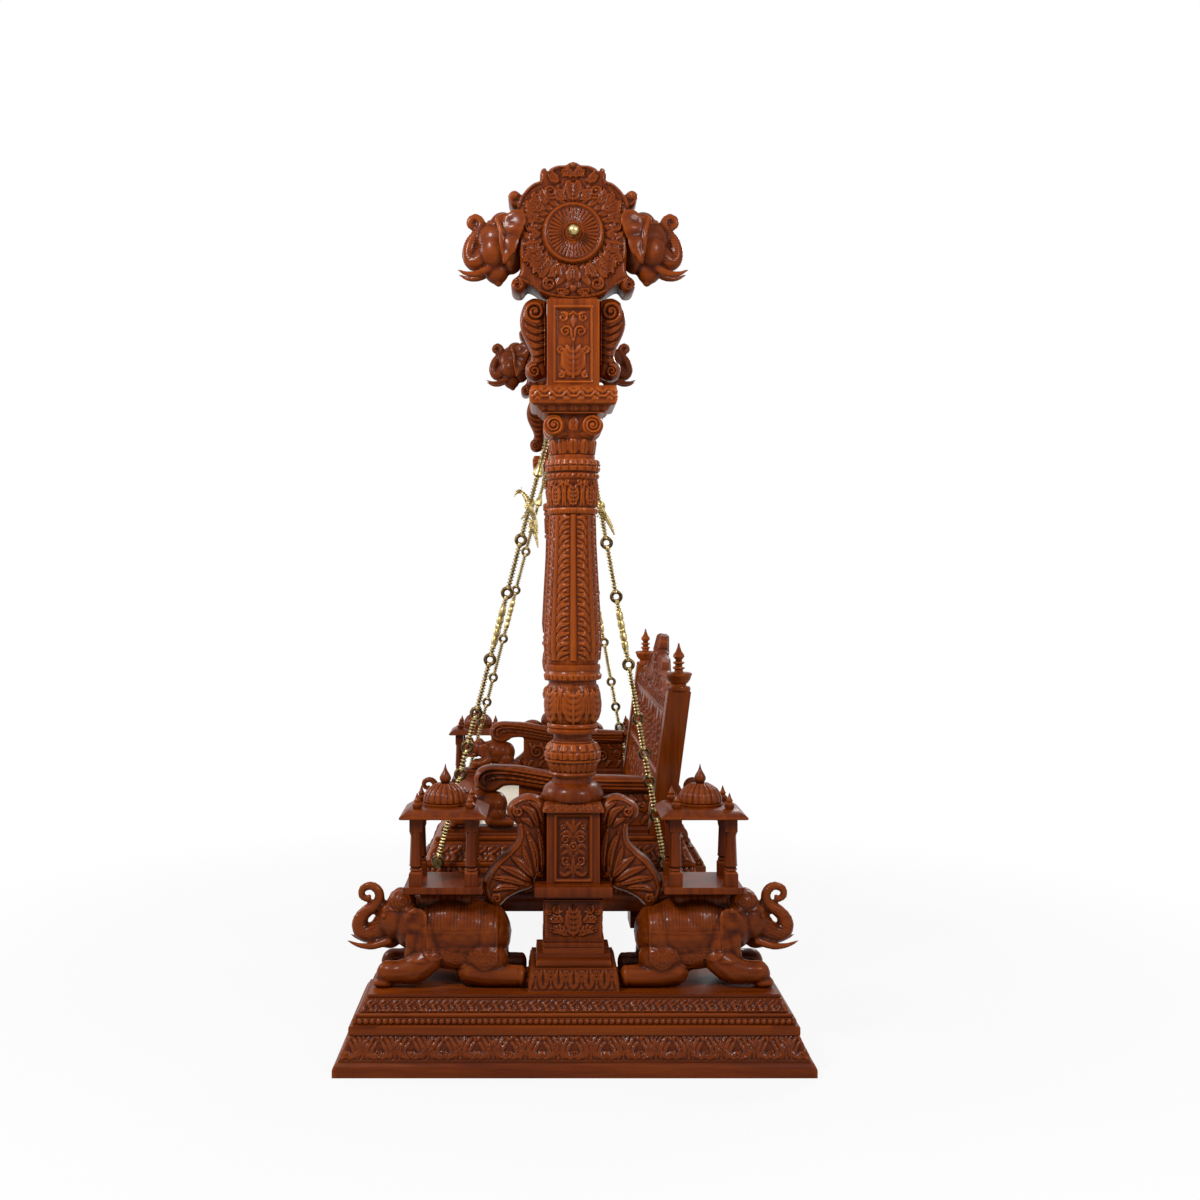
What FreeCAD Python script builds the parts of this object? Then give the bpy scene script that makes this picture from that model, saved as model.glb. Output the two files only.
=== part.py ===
import FreeCAD, Part

import math
import os
import re

import Sketcher
from FreeCAD import Placement, Rotation, Vector

# A carved teak jhoola: a seat hung on brass chains from a beam between two carved end stands.
# Millimetres. The origin is on the floor, midway between the two ends, under the beam.
# +X runs along the beam, -Y is the side that a sitter faces, +Z is up.

doc = FreeCAD.newDocument("JhoolaSwing")
sheet = doc.addObject("Spreadsheet::Sheet", "Sizes")
levels = doc.addObject("App::VarSet", "Levels")

ACROSS = Vector(1, 0, 0)
UP = Vector(0, 0, 1)
ALONG = Vector(0, 1, 0)
FULL_TURN = 360
QUARTER_TURN = 90
NIL = 1e-9

size_names = []
level_names = []


def add_sizes(table, prefix=""):
    """Writes named driving sizes into the sheet, one row each."""
    for word, size in table.items():
        size_names.append(prefix + word)
        row = len(size_names)
        sheet.set(f"A{row}", prefix + word)
        sheet.set(f"B{row}", str(size))
        sheet.setAlias(f"B{row}", prefix + word)


def bind(text):
    """Turns the plain names of sizes and levels in a formula into references."""
    def owner(match):
        word = match.group()
        if word in size_names:
            return "Sizes." + word
        if word in level_names:
            return "Levels." + word
        return word
    return re.sub(r"[a-z]\w*", owner, text)


def number(text):
    """The present value of a formula."""
    found = sheet.evalExpression(bind(text))
    return float(getattr(found, "Value", found))


def level(name, formula):
    """A named height or place that follows from the driving sizes."""
    levels.addProperty("App::PropertyFloat", name)
    levels.setExpression(name, bind(formula))
    level_names.append(name)
    doc.recompute()


# The two end stands and the beam.
add_sizes({
    "end_offset": 1010, "plinth_length": 1200, "plinth_width": 420,
    "beam_width": 112, "beam_lip": 9, "beam_lip_height": 26, "beam_height": 236, "beam_below_centre": 132,
    "crest_thickness": 130, "crest_height_over_post": 171, "bolt_radius": 8, "bolt_reach": 90,
    "bolt_clearance": 0.2, "hair_gap": 0.3,
})

# Each plinth is a stack of tiers: height, then how far its foot and its head step in.
PLINTH_TIERS = {"foot": (22, 0, 0), "cyma": (17, 0, 13), "frieze": (55, 13, 41), "lip": (23, 37, 37)}
PLINTH_TOP_TIERS = {"bead": (17, 46, 46), "fillet": (10, 54, 54), "leaf": (29, 62, 76), "board": (12, 79, 79)}
SEAT_TIERS = {"foot": (30, 0, 0), "cyma": (15, 0, 10), "band": (75, 10, 30), "lip": (12, 26, 26),
              "leaf": (48, 34, 54), "board": (20, 58, 58)}


def add_tiers(prefix, tiers):
    for name, (height, foot_inset, head_inset) in tiers.items():
        add_sizes({"height": height, "foot_inset": foot_inset, "head_inset": head_inset}, f"{prefix}_{name}_")


add_tiers("plinth", PLINTH_TIERS)
add_tiers("plinth", PLINTH_TOP_TIERS)
add_tiers("seat", SEAT_TIERS)

# The pedestal between plinth and column.
add_sizes({
    "footing_foot_width": 232, "footing_head_width": 216, "footing_height": 58,
    "footing_step_width": 190, "footing_step_height": 17,
    "footing_wing_depth": 156, "footing_wing_height": 12, "footing_block_height": 18,
    "drum_base_width": 157, "drum_base_height": 23, "drum_width": 151, "drum_height": 97,
    "drum_neck_width": 140, "drum_neck_height": 10,
    "shelf_width": 199, "shelf_height": 27,
    "block_width": 136, "block_height": 188, "panel_width": 85, "panel_height": 160, "panel_depth": 5,
    "cornice_foot_width": 158, "cornice_head_width": 138, "cornice_height": 23,
    "ovolo_foot_radius": 80, "ovolo_mid_radius": 74, "ovolo_head_radius": 54,
    "ovolo_lower_height": 28, "ovolo_upper_height": 28,
})

# The turned column, from the pedestal up: radius of each line, and its rise over the last one.
COLUMN_LINES = {
    "neck_foot": (51, 0), "neck_head": (51, 8), "ring_foot": (61, 0), "ring_head": (61, 10),
    "basket_foot": (57, 0), "basket_head": (67, 28), "crown_foot": (72, 0), "crown_head": (72, 5),
    "bowl_belly": (72.5, 21), "bowl_head": (61, 21), "collar_foot": (55, 0), "collar_head": (55, 6),
    "waist_foot": (51, 0), "waist_head": (51, 19), "twin_ring_foot": (67, 0), "twin_ring_head": (67, 26),
    "vase_foot": (61, 0), "vase_belly": (75, 50), "vase_shoulder": (70, 40), "vase_head": (64, 23),
    "leaf_foot": (72, 0), "leaf_tip": (75.5, 16), "leaf_head": (70, 9), "band_foot": (72, 0),
    "band_head": (72, 15), "shaft_foot": (66, 0), "shaft_spring": (71, 10), "shaft_belly": (76.5, 41),
    "shaft_middle": (70, 117), "shaft_upper": (62, 144), "shaft_neck": (59, 79), "sepal_foot": (64, 0),
    "sepal_head": (66, 15), "bell_foot": (61, 0), "bell_belly": (65, 40), "bell_head": (64, 37),
    "cord_foot": (68, 0), "cord_head": (68, 13), "gadroon_foot": (66, 0), "gadroon_belly": (70.6, 18),
    "gadroon_head": (66, 19), "fillet_foot": (58, 0), "fillet_head": (58, 10), "throat_foot": (55, 0),
    "throat_head": (62, 44),
}
# The brass boss that covers the end bolt: radius and rise along the bolt.
BOSS_LINES = {"plate_foot": (23, 0), "plate_head": (23, 5), "stem_foot": (12, 0), "stem_head": (10, 8),
              "ball_foot": (14, 5), "ball_belly": (16.5, 9), "ball_head": (12, 9), "tip": (4, 5)}
# The dome and its finial on a howdah roof.
DOME_LINES = {"drum_foot": (57, 0), "drum_head": (57, 8), "belly": (56, 14), "shoulder": (45, 18),
              "crown": (20, 12), "neck": (9, 6), "bulb_foot": (12, 4), "bulb_belly": (15, 9),
              "bulb_head": (9, 12), "tip": (2, 18)}
CORNER_LINES = {"foot": (11, 0), "belly": (13, 9), "neck": (7, 8), "bead": (9, 5), "tip": (2, 13)}
# The turned finial on a back post.
FINIAL_LINES = {"cap_foot": (33, 0), "cap_head": (33, 12), "neck_foot": (22, 0), "neck_head": (22, 8),
                "bowl_foot": (24, 0), "bowl_belly": (37, 22), "bowl_lip": (37, 10), "stem_foot": (13, 0),
                "disc_one": (18, 12), "stem_one": (10, 8), "disc_two": (17, 8), "stem_two": (9, 8),
                "disc_three": (17, 12), "spire": (10, 12), "tip": (2, 22)}


def add_lines(prefix, lines):
    for name, (radius, rise) in lines.items():
        add_sizes({"radius": radius, "rise": rise}, f"{prefix}_{name}_")


add_lines("column", COLUMN_LINES)
add_lines("boss", BOSS_LINES)
add_lines("dome", DOME_LINES)
add_lines("corner", CORNER_LINES)
add_lines("finial", FINIAL_LINES)

# Capital, upper post and their scrolls.
add_sizes({
    "capital_height": 60, "capital_core_width": 122, "volute_length": 155, "volute_radius": 29,
    "volute_offset": 49, "abacus_foot_width": 164, "abacus_head_width": 212, "abacus_flare": 25,
    "abacus_width": 222, "abacus_height": 43,
    "upper_width": 134, "upper_height": 226, "upper_panel_width": 91, "upper_panel_height": 188,
    "bracket_thickness": 66,
})

# Outlines, as named landmarks: distance from the centre line, then height.
CREST_OUTLINE = {"crown": (0, 187), "crown_side": (24, 172), "petal": (59, 158), "leaf_tip": (77, 164),
                 "leaf_root": (84, 136), "curl": (116, 118), "ball": (148, 111), "ball_side": (161, 97),
                 "shoulder": (150, 78), "cheek": (136, 62), "jaw": (136, -96), "volute_side": (158, -128),
                 "volute_foot": (141, -148), "volute_root": (118, -124), "skirt": (69, -159),
                 "base": (40, -171)}
WING_OUTLINE = {"cornice_under": (82, 186), "crown_back": (86, 216),
                "crown": (124, 226), "beak": (163, 186), "throat": (140, 155), "neck": (150, 119),
                "breast_top": (163, 93), "breast": (189, 67), "belly": (209, 41), "belly_low": (219, 11),
                "claw": (224, -23), "claw_tip": (212, -43), "heel": (184, -50), "heel_in": (176, -33),
                "arch": (163, -10), "arch_head": (140, 0)}
WING_TOP_OUTLINE = {"crown": (96, 233), "brow": (126, 222),
                    "cheek": (142, 196), "chin": (141, 170), "breast": (128, 132), "waist": (112, 100),
                    "knee": (118, 72), "curl": (124, 50), "toe": (112, 28)}
ARM_OUTLINE = {"back_top": (232, 168), "middle_top": (60, 172), "rise_top": (-80, 184),
               "front_top": (-190, 203), "nose_top": (-244, 205), "nose": (-270, 190),
               "nose_under": (-262, 168), "chin": (-236, 160),
               "front_under": (-150, 152), "middle_under": (-30, 132), "back_under": (232, 122)}
PANEL_OUTLINE = {"foot_front": (-146, 27), "foot_back": (226, 27), "back_top": (226, 121.7),
                 "middle_top": (-30, 131.7), "front_top": (-146, 151.2)}
BACK_OUTLINE = {"foot": (611.7, 6), "ear": (611.7, 372), "ear_in": (560, 396), "first_step": (470, 400),
                "second_step": (380, 430), "third_step": (240, 446), "fourth_step": (150, 492),
                "crown_foot": (70, 512), "crown_side": (52, 548), "crown": (0, 560)}


def add_outline(prefix, points):
    for name, (reach, rise) in points.items():
        add_sizes({"reach": reach, "rise": rise}, f"{prefix}_{name}_")


add_outline("crest", CREST_OUTLINE)
add_outline("wing", WING_OUTLINE)
add_outline("wing_top", WING_TOP_OUTLINE)
add_outline("arm", ARM_OUTLINE)
add_outline("panel", PANEL_OUTLINE)
add_outline("back", BACK_OUTLINE)

add_sizes({
    "wing_thickness": 62, "wing_head_gap": 5,
    "rosette_radius": 79, "rosette_dish_radius": 67, "rosette_proud": 8,
    "dish_depth": 6, "rosette_back": 20, "boss_seat": 1.7,
    "saddle_width": 150, "saddle_rise": 244,
    "howdah_offset": 333, "howdah_width": 203, "howdah_floor": 18, "howdah_post_offset": 71,
    "howdah_foot_width": 30, "howdah_foot_height": 45, "howdah_shaft_radius": 12, "howdah_neck_radius": 10,
    "howdah_shaft_height": 128, "howdah_eave_width": 222, "howdah_eave_height": 8, "howdah_hip_width": 176,
    "howdah_hip_height": 15, "howdah_corner_offset": 68,
})

# The seat.
add_sizes({
    "seat_half_length": 730, "seat_front": 440, "seat_back": 380, "seat_bottom": 300,
    "rail_top_inset": 128, "rail_foot_inset": 80, "ledge_inset": 150, "ledge_height": 22, "deck_rise": 95,
    "deck_thickness": 18, "batten_spacing": 360, "batten_width": 50, "batten_height": 30,
    "foot_block_width": 120, "foot_block_height": 54, "foot_block_inset": 26, "foot_block_set": 90,
    "cushion_gap": 8, "cushion_corner": 45,
    "arm_offset": 640, "arm_thickness": 56, "panel_thickness": 26, "panel_rail_height": 27,
    "panel_rail_width": 52, "panel_rail_front": 368, "panel_rail_back": 226,
    "back_post_width": 56, "back_post_depth": 66, "back_post_height": 414, "back_post_foot": 226,
    "back_lean": 7.5, "back_panel_thickness": 28, "back_panel_setback": 12,
    "slot_count": 9, "slot_spacing": 118, "slot_width": 52, "slot_foot": 176, "slot_height": 156,
})

# The cushion's levels, from its foot to its crown: how far each draws in, and its rise.
CUSHION_SLICES = {"foot": (7, 0), "low_welt": (0, 7), "waist": (7, 25), "high_welt": (0, 43), "edge": (7, 50),
                  "slope": (45, 57), "crown": (165, 62)}
for slice_name, (slice_inset, slice_rise) in CUSHION_SLICES.items():
    add_sizes({"inset": slice_inset, "rise": slice_rise}, f"cushion_{slice_name}_")

# The suspension.
add_sizes({
    "chain_offset": 750, "hook_drop": 114, "hook_bar_radius": 7, "hook_cheek_gap": 30, "hook_cheek": 8,
    "hook_cheek_depth": 30, "hook_plate_length": 130, "hook_plate_width": 90, "hook_plate": 8,
    "hanger_radius": 24, "hanger_wire": 6, "seat_pin_radius": 7, "seat_pin_reach": 14, "seat_pin_root": 58,
    "seat_pin_head": 13, "seat_pin_head_length": 7, "front_pin_offset": 372, "back_pin_offset": 262,
    "leg_spread": 9, "link_tilt_room": 1, "pin_rise": 142,
    "ring_radius": 17, "ring_wire": 4.2, "end_ring_radius": 14,
    "link_spread": 4.5, "link_wire": 3, "knuckle_radius": 8, "bell_radius": 15, "figure_radius": 13,
    "figure_length": 120,
    "bird_length": 52, "bird_radius": 13, "bird_tail": 60,
})
# Where the rings sit on a chain leg, measured down the leg from the hanger.
CHAIN_RINGS = {"bell": 315, "bird": 410, "first": 517, "second": 670, "third": 863, "fourth": 1017,
               "fifth": 1115, "front_last": 1188, "back_last": 1290}
for ring_name, ring_drop in CHAIN_RINGS.items():
    add_sizes({"drop": ring_drop}, f"chain_{ring_name}_")
doc.recompute()


# Heights that follow from the sizes above.
def stack_levels(prefix, tiers, start):
    """One level for the head of each tier of a stack."""
    below = start
    for name in tiers:
        level(f"{prefix}_{name}_head", f"{below} + {prefix}_{name}_height")
        below = f"{prefix}_{name}_head"


stack_levels("plinth", PLINTH_TIERS, "0")
stack_levels("plinth", PLINTH_TOP_TIERS, "plinth_lip_head")
level("footing_top", "plinth_board_head + footing_height")
level("footing_step_top", "footing_top + footing_step_height")
level("footing_wing_top", "footing_step_top + footing_wing_height")
level("footing_head", "footing_wing_top + footing_block_height")
level("drum_base_top", "footing_head + drum_base_height")
level("drum_top", "drum_base_top + drum_height")
level("drum_head", "drum_top + drum_neck_height")
level("shelf_top", "drum_head + shelf_height")
level("block_top", "shelf_top + block_height")
level("cornice_top", "block_top + cornice_height")
level("pedestal_top", "cornice_top + ovolo_lower_height + ovolo_upper_height")
level("column_top", "pedestal_top + " + " + ".join(f"column_{name}_rise" for name in COLUMN_LINES))
level("capital_top", "column_top + capital_height")
level("abacus_flare_top", "capital_top + abacus_flare")
level("abacus_top", "abacus_flare_top + abacus_height")
level("upper_top", "abacus_top + upper_height")
level("crest_centre", "upper_top + crest_height_over_post")
level("beam_foot", "crest_centre - beam_below_centre")
level("hook_height", "beam_foot - hook_drop")
level("hanger_height", "hook_height - hanger_radius + hanger_wire + hook_bar_radius + hair_gap")
level("chain_height", "hanger_height - sqrt(hanger_radius * hanger_radius - leg_spread * leg_spread)")
level("top_link_drop", "end_ring_radius - ring_wire - hanger_wire - link_tilt_room")
level("low_link_lift", "end_ring_radius - ring_wire - seat_pin_radius - hair_gap")
level("saddle_top", "plinth_board_head + saddle_rise")
stack_levels("seat", SEAT_TIERS, "seat_bottom")
level("seat_top", "seat_board_head")
level("deck_foot", "seat_bottom + deck_rise")
level("deck_top", "deck_foot + deck_thickness")
level("pin_height", "seat_bottom + pin_rise")
level("chain_drop", "chain_height - pin_height")
level("end_rim", "end_offset - crest_thickness / 2")


# Small makers for bound solids.
def bound(kind, name, **formulas):
    """A document object whose properties follow formulas of the named sizes."""
    thing = doc.addObject(kind, name)
    for prop, formula in formulas.items():
        thing.setExpression(prop.replace("_at_", "."), bind(formula))
    return thing


def seat_at(thing, x="0", y="0", z="0", turn=0, axis=UP):
    """Places a finished piece: turned about an axis, then moved to bound coordinates."""
    thing.Placement = Placement(Vector(), Rotation(axis, turn))
    for letter, formula in zip("xyz", (x, y, z)):
        thing.setExpression(f"Placement.Base.{letter}", bind(formula))
    return thing


def box(name, x_low, x_high, y_low, y_high, z_low, z_high):
    solid = bound("Part::Box", name, Length=f"({x_high}) - ({x_low})", Width=f"({y_high}) - ({y_low})",
                  Height=f"({z_high}) - ({z_low})")
    return seat_at(solid, x_low, y_low, z_low)


def square_box(name, width, z_low, z_high, x="0", y="0"):
    return box(name, f"{x} - {width} / 2", f"{x} + {width} / 2", f"{y} - {width} / 2",
               f"{y} + {width} / 2", z_low, z_high)


def hipped(name, half_foot_x, half_head_x, half_foot_y, half_head_y, z_low, z_high):
    """A block with four sloping sides. The wedge's own height lies along its Y, so it is tipped up."""
    solid = bound("Part::Wedge", name, Xmin=f"-({half_foot_x})", Xmax=half_foot_x,
                  X2min=f"-({half_head_x})", X2max=half_head_x,
                  Zmin=f"-({half_foot_y})", Zmax=half_foot_y,
                  Z2min=f"-({half_head_y})", Z2max=half_head_y,
                  Ymin="0", Ymax=f"({z_high}) - ({z_low})")
    return seat_at(solid, z=z_low, turn=QUARTER_TURN, axis=ACROSS)


def rod(name, radius, length, x="0", y="0", z="0", turn=0, axis=UP):
    return seat_at(bound("Part::Cylinder", name, Radius=radius, Height=length), x, y, z, turn, axis)


def cone(name, foot_radius, head_radius, length, x="0", y="0", z="0", turn=0, axis=UP):
    solid = bound("Part::Cone", name, Radius1=foot_radius, Radius2=head_radius, Height=length)
    return seat_at(solid, x, y, z, turn, axis)


def ring(name, radius, wire, x="0", y="0", z="0", turn=0, axis=UP):
    return seat_at(bound("Part::Torus", name, Radius1=radius, Radius2=wire), x, y, z, turn, axis)


def ball(name, radius, x="0", y="0", z="0"):
    return seat_at(bound("Part::Sphere", name, Radius=radius), x, y, z)


def fuse(label, solids):
    joined = doc.addObject("Part::MultiFuse", label)
    joined.Shapes = solids
    joined.Refine = True
    return joined


def cut(label, whole, tool):
    left = doc.addObject("Part::Cut", label)
    left.Base = whole
    left.Tool = tool
    return left


def group(label, solids):
    """Separate solids that share one file, such as a pair of hooks."""
    gathered = doc.addObject("Part::Compound", label)
    gathered.Links = solids
    return gathered


def sketch_on(body, name, role, points):
    """A closed outline on one of the body's own planes, each corner tied to two formulas."""
    drawing = body.newObject("Sketcher::SketchObject", name)
    plane = [face for face in body.Origin.OriginFeatures if face.Role == role][0]
    drawing.AttachmentSupport = (plane, [""])
    drawing.MapMode = "FlatFace"
    points = [pair for here, pair in enumerate(points) if place_of(pair) != place_of(points[here - 1])]
    corners = [place_of(pair) for pair in points]
    for here, corner in enumerate(corners):
        following = corners[(here + 1) % len(corners)]
        drawing.addGeometry(Part.LineSegment(corner, following), False)
    for here in range(len(corners)):
        following = (here + 1) % len(corners)
        drawing.addConstraint(Sketcher.Constraint("Coincident", here, 2, following, 1))
    for here, formulas in enumerate(points):
        for kind, formula, axis_line in zip(("DistanceX", "DistanceY"), formulas, (-2, -1)):
            tie_corner(drawing, here, kind, formula, axis_line)
    return drawing


def place_of(pair):
    """Where a corner lies now, in its sketch."""
    return Vector(number(pair[0]), number(pair[1]), 0)


def tie_corner(drawing, line, kind, formula, axis_line):
    """Holds the start of a line at a signed distance from the sketch's origin."""
    size = number(formula)
    if abs(size) < NIL:
        drawing.addConstraint(Sketcher.Constraint("PointOnObject", line, 1, axis_line))
        return
    if size > 0:
        held = Sketcher.Constraint(kind, -1, 1, line, 1, size)
        bound_formula = bind(formula)
    else:
        held = Sketcher.Constraint(kind, line, 1, -1, 1, -size)
        bound_formula = f"-({bind(formula)})"
    index = drawing.addConstraint(held)
    drawing.setExpression(f"Constraints[{index}]", bound_formula)


def turned(name, prefix, lines, start="0"):
    """A solid of revolution about Z whose outline follows the named lines of a profile."""
    body = doc.addObject("PartDesign::Body", name)
    rise = start
    points = [("0", start)]
    for line in lines:
        rise = f"{rise} + {prefix}_{line}_rise"
        points.append((f"{prefix}_{line}_radius", rise))
    points.append(("0", rise))
    drawing = sketch_on(body, f"{name}_outline", "XZ_Plane", points)
    spun = body.newObject("PartDesign::Revolution", f"{name}_turning")
    spun.Profile = drawing
    spun.ReferenceAxis = (drawing, ["V_Axis"])
    spun.Angle = FULL_TURN
    return body


def plate(name, points, thickness, role="YZ_Plane"):
    """A flat carved piece: an outline given an even thickness about its own plane."""
    body = doc.addObject("PartDesign::Body", name)
    drawing = sketch_on(body, f"{name}_outline", role, points)
    pad = body.newObject("PartDesign::Pad", f"{name}_thickness")
    pad.Profile = drawing
    pad.Midplane = True
    pad.setExpression("Length", bind(thickness))
    return body


def outline(prefix, points, side=1):
    """The corners of a named outline, on one side of the centre line."""
    sign = "" if side > 0 else "-"
    return [(f"{sign}{prefix}_{name}_reach", f"{prefix}_{name}_rise") for name in points]


def both_sides(prefix, points):
    """A closed outline from landmarks given for one side of a centre line."""
    right_side = outline(prefix, points)
    left_side = outline(prefix, list(points)[::-1], -1)
    return right_side + [(x, y) for x, y in left_side if abs(number(x)) > 0]


finished = []


def keep(thing, label, x="0", y="0", z="0", turn=0):
    """Names a finished sub-part and puts it in its place."""
    thing.Label = label
    seat_at(thing, x, y, z, turn)
    finished.append(thing)
    return thing


ENDS = {"right": ("end_offset", 0), "left": ("-end_offset", 180)}
SIDES = {"front": 0, "rear": 180}


def end_keep(thing, piece, end):
    offset, turn = ENDS[end]
    return keep(thing, f"{piece}_{end}", x=offset, turn=turn)


def tier_stack(prefix, tiers, start):
    """Moulded steps, each narrower than the last, as on a temple plinth."""
    solids = []
    below = start
    for name in tiers:
        tier = f"{prefix}_{name}"
        half_x = f"({prefix}_width / 2 - {tier}_foot_inset)"
        half_x_head = f"({prefix}_width / 2 - {tier}_head_inset)"
        half_y = f"({prefix}_length / 2 - {tier}_foot_inset)"
        half_y_head = f"({prefix}_length / 2 - {tier}_head_inset)"
        solids.append(hipped(f"{tier}_tier", half_x, half_x_head, half_y, half_y_head, below, f"{tier}_head"))
        below = f"{tier}_head"
    return solids


def make_plinth(end):
    end_keep(fuse("plinth", tier_stack("plinth", PLINTH_TIERS, "0")), "plinth", end)


def make_plinth_top(end):
    end_keep(fuse("plinth_top", tier_stack("plinth", PLINTH_TOP_TIERS, "plinth_lip_head")), "plinth_top", end)


def make_footing(end):
    """The stepped foot of the pedestal, with wings that reach out front and back."""
    steps = [
        hipped("footing_slab", "footing_foot_width / 2", "footing_head_width / 2",
               "footing_foot_width / 2", "footing_head_width / 2", "plinth_board_head", "footing_top"),
        square_box("footing_step", "footing_step_width", "footing_top", "footing_step_top"),
        box("footing_wing", "-footing_wing_depth / 2", "footing_wing_depth / 2", "-footing_step_width / 2",
            "footing_step_width / 2", "footing_step_top", "footing_wing_top"),
        square_box("footing_block", "footing_wing_depth", "footing_wing_top", "footing_head"),
    ]
    end_keep(fuse("pedestal_foot", steps), "pedestal_foot", end)


def panelled(name, width, z_low, z_high, panel_wide, panel_high):
    """A square block with a sunk panel on its outer and its inner face."""
    block = square_box(f"{name}_block", width, z_low, z_high)
    middle = f"(({z_low}) + ({z_high})) / 2"
    sunk = []
    for face, sign in (("outer", 1), ("inner", -1)):
        near = f"{sign} * ({width} / 2 - panel_depth)"
        far = f"{sign} * ({width} / 2 + panel_depth)"
        x_low, x_high = (near, far) if sign > 0 else (far, near)
        sunk.append(box(f"{name}_{face}_panel", x_low, x_high, f"-{panel_wide} / 2", f"{panel_wide} / 2",
                        f"{middle} - {panel_high} / 2", f"{middle} + {panel_high} / 2"))
    return cut(name, block, group(f"{name}_panels", sunk))


def make_pedestal(end):
    """Carved drum, shelf slab, panelled block, cornice and the cushion moulding under the column."""
    solids = [
        square_box("drum_base", "drum_base_width", "footing_head", "drum_base_top"),
        square_box("drum", "drum_width", "drum_base_top", "drum_top"),
        square_box("drum_neck", "drum_neck_width", "drum_top", "drum_head"),
        square_box("shelf", "shelf_width", "drum_head", "shelf_top"),
        panelled("pedestal_block", "block_width", "shelf_top", "block_top", "panel_width", "panel_height"),
        hipped("cornice", "cornice_foot_width / 2", "cornice_head_width / 2", "cornice_foot_width / 2",
               "cornice_head_width / 2", "block_top", "cornice_top"),
        cone("ovolo_lower", "ovolo_foot_radius", "ovolo_mid_radius", "ovolo_lower_height", z="cornice_top"),
        cone("ovolo_upper", "ovolo_mid_radius", "ovolo_head_radius", "ovolo_upper_height",
             z="cornice_top + ovolo_lower_height"),
    ]
    end_keep(fuse("pedestal", solids), "pedestal", end)


def make_column(end):
    end_keep(turned("column", "column", COLUMN_LINES, "pedestal_top"), "column", end)


def make_capital(end):
    """A scrolled block with a bolster on each side, and the flared slab that carries the upper post."""
    solids = [square_box("capital_core", "capital_core_width", "column_top", "capital_top")]
    for side in (-1, 1):
        solids.append(rod("volute", "volute_radius", "volute_length", x="-volute_length / 2",
                          y=f"{side} * volute_offset", z="capital_top - volute_radius",
                          turn=QUARTER_TURN, axis=ALONG))
    solids.append(hipped("abacus_flare_block", "abacus_foot_width / 2", "abacus_head_width / 2",
                         "abacus_foot_width / 2", "abacus_head_width / 2", "capital_top", "abacus_flare_top"))
    solids.append(square_box("abacus", "abacus_width", "abacus_flare_top", "abacus_top"))
    end_keep(fuse("capital", solids), "capital", end)


def make_upper_post(end):
    post = panelled("upper_post", "upper_width", "abacus_top", "upper_top", "upper_panel_width",
                    "upper_panel_height")
    end_keep(post, "upper_post", end)


def make_upper_brackets(end):
    """Winged scrolls that lean on the front and the back of the upper post."""
    pair = []
    for side in (-1, 1):
        corners = [(x, f"abacus_top + {y}") for x, y in outline("wing_top", WING_TOP_OUTLINE, side)]
        corners += [(f"{side} * upper_width / 2", f"abacus_top + {rise}")
                    for rise in ("wing_top_toe_rise", "wing_top_crown_rise")]
        pair.append(plate("upper_bracket", corners, "bracket_thickness"))
    end_keep(group("upper_brackets", pair), "upper_brackets", end)


def make_pedestal_brackets(end):
    """Bird-like scrolls that stand on the shelf and lean on the pedestal block."""
    pair = []
    for side in (-1, 1):
        corners = [(x, f"shelf_top + {y}") for x, y in outline("wing", WING_OUTLINE, side)]
        corners += [(f"{side} * block_width / 2", "shelf_top"),
                    (f"{side} * block_width / 2", "block_top - wing_head_gap")]
        pair.append(plate("pedestal_bracket", corners, "wing_thickness"))
    end_keep(group("pedestal_brackets", pair), "pedestal_brackets", end)


def make_crest(end):
    """The carved end of the beam: an outline of leaves and curls with a dished rosette on its face."""
    corners = [(x, f"crest_centre + {y}") for x, y in both_sides("crest", CREST_OUTLINE)]
    body = plate("crest_board", corners, "crest_thickness")
    face = "crest_thickness / 2"
    rosette = rod("rosette", "rosette_radius", "rosette_proud + rosette_back", x=f"{face} - rosette_back",
                  z="crest_centre", turn=QUARTER_TURN, axis=ALONG)
    dish = cone("rosette_dish", "bolt_radius", "rosette_dish_radius", "dish_depth",
                x=f"{face} + rosette_proud - dish_depth", z="crest_centre", turn=QUARTER_TURN, axis=ALONG)
    bore = rod("bolt_bore", "bolt_radius + bolt_clearance", "crest_thickness * 2", x="-crest_thickness",
               z="crest_centre", turn=QUARTER_TURN, axis=ALONG)
    solid = fuse("crest_solid", [body, rosette])
    end_keep(cut("crest", solid, group("crest_cuts", [dish, bore])), "crest", end)


def make_end_boss(end):
    """The brass boss on the rosette: it is the head of the bolt that draws crest and beam together.
    Its plate sits in the dish where the dish is as wide as the plate."""
    knob = seat_at(turned("boss_knob", "boss", BOSS_LINES),
                   x="crest_thickness / 2 + rosette_proud - dish_depth + boss_seat", z="crest_centre",
                   turn=QUARTER_TURN, axis=ALONG)
    shank = rod("boss_shank", "bolt_radius", "crest_thickness + rosette_proud + bolt_reach",
                x="-crest_thickness / 2 - bolt_reach", z="crest_centre", turn=QUARTER_TURN, axis=ALONG)
    end_keep(fuse("end_boss", [knob, shank]), "end_boss", end)


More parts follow.
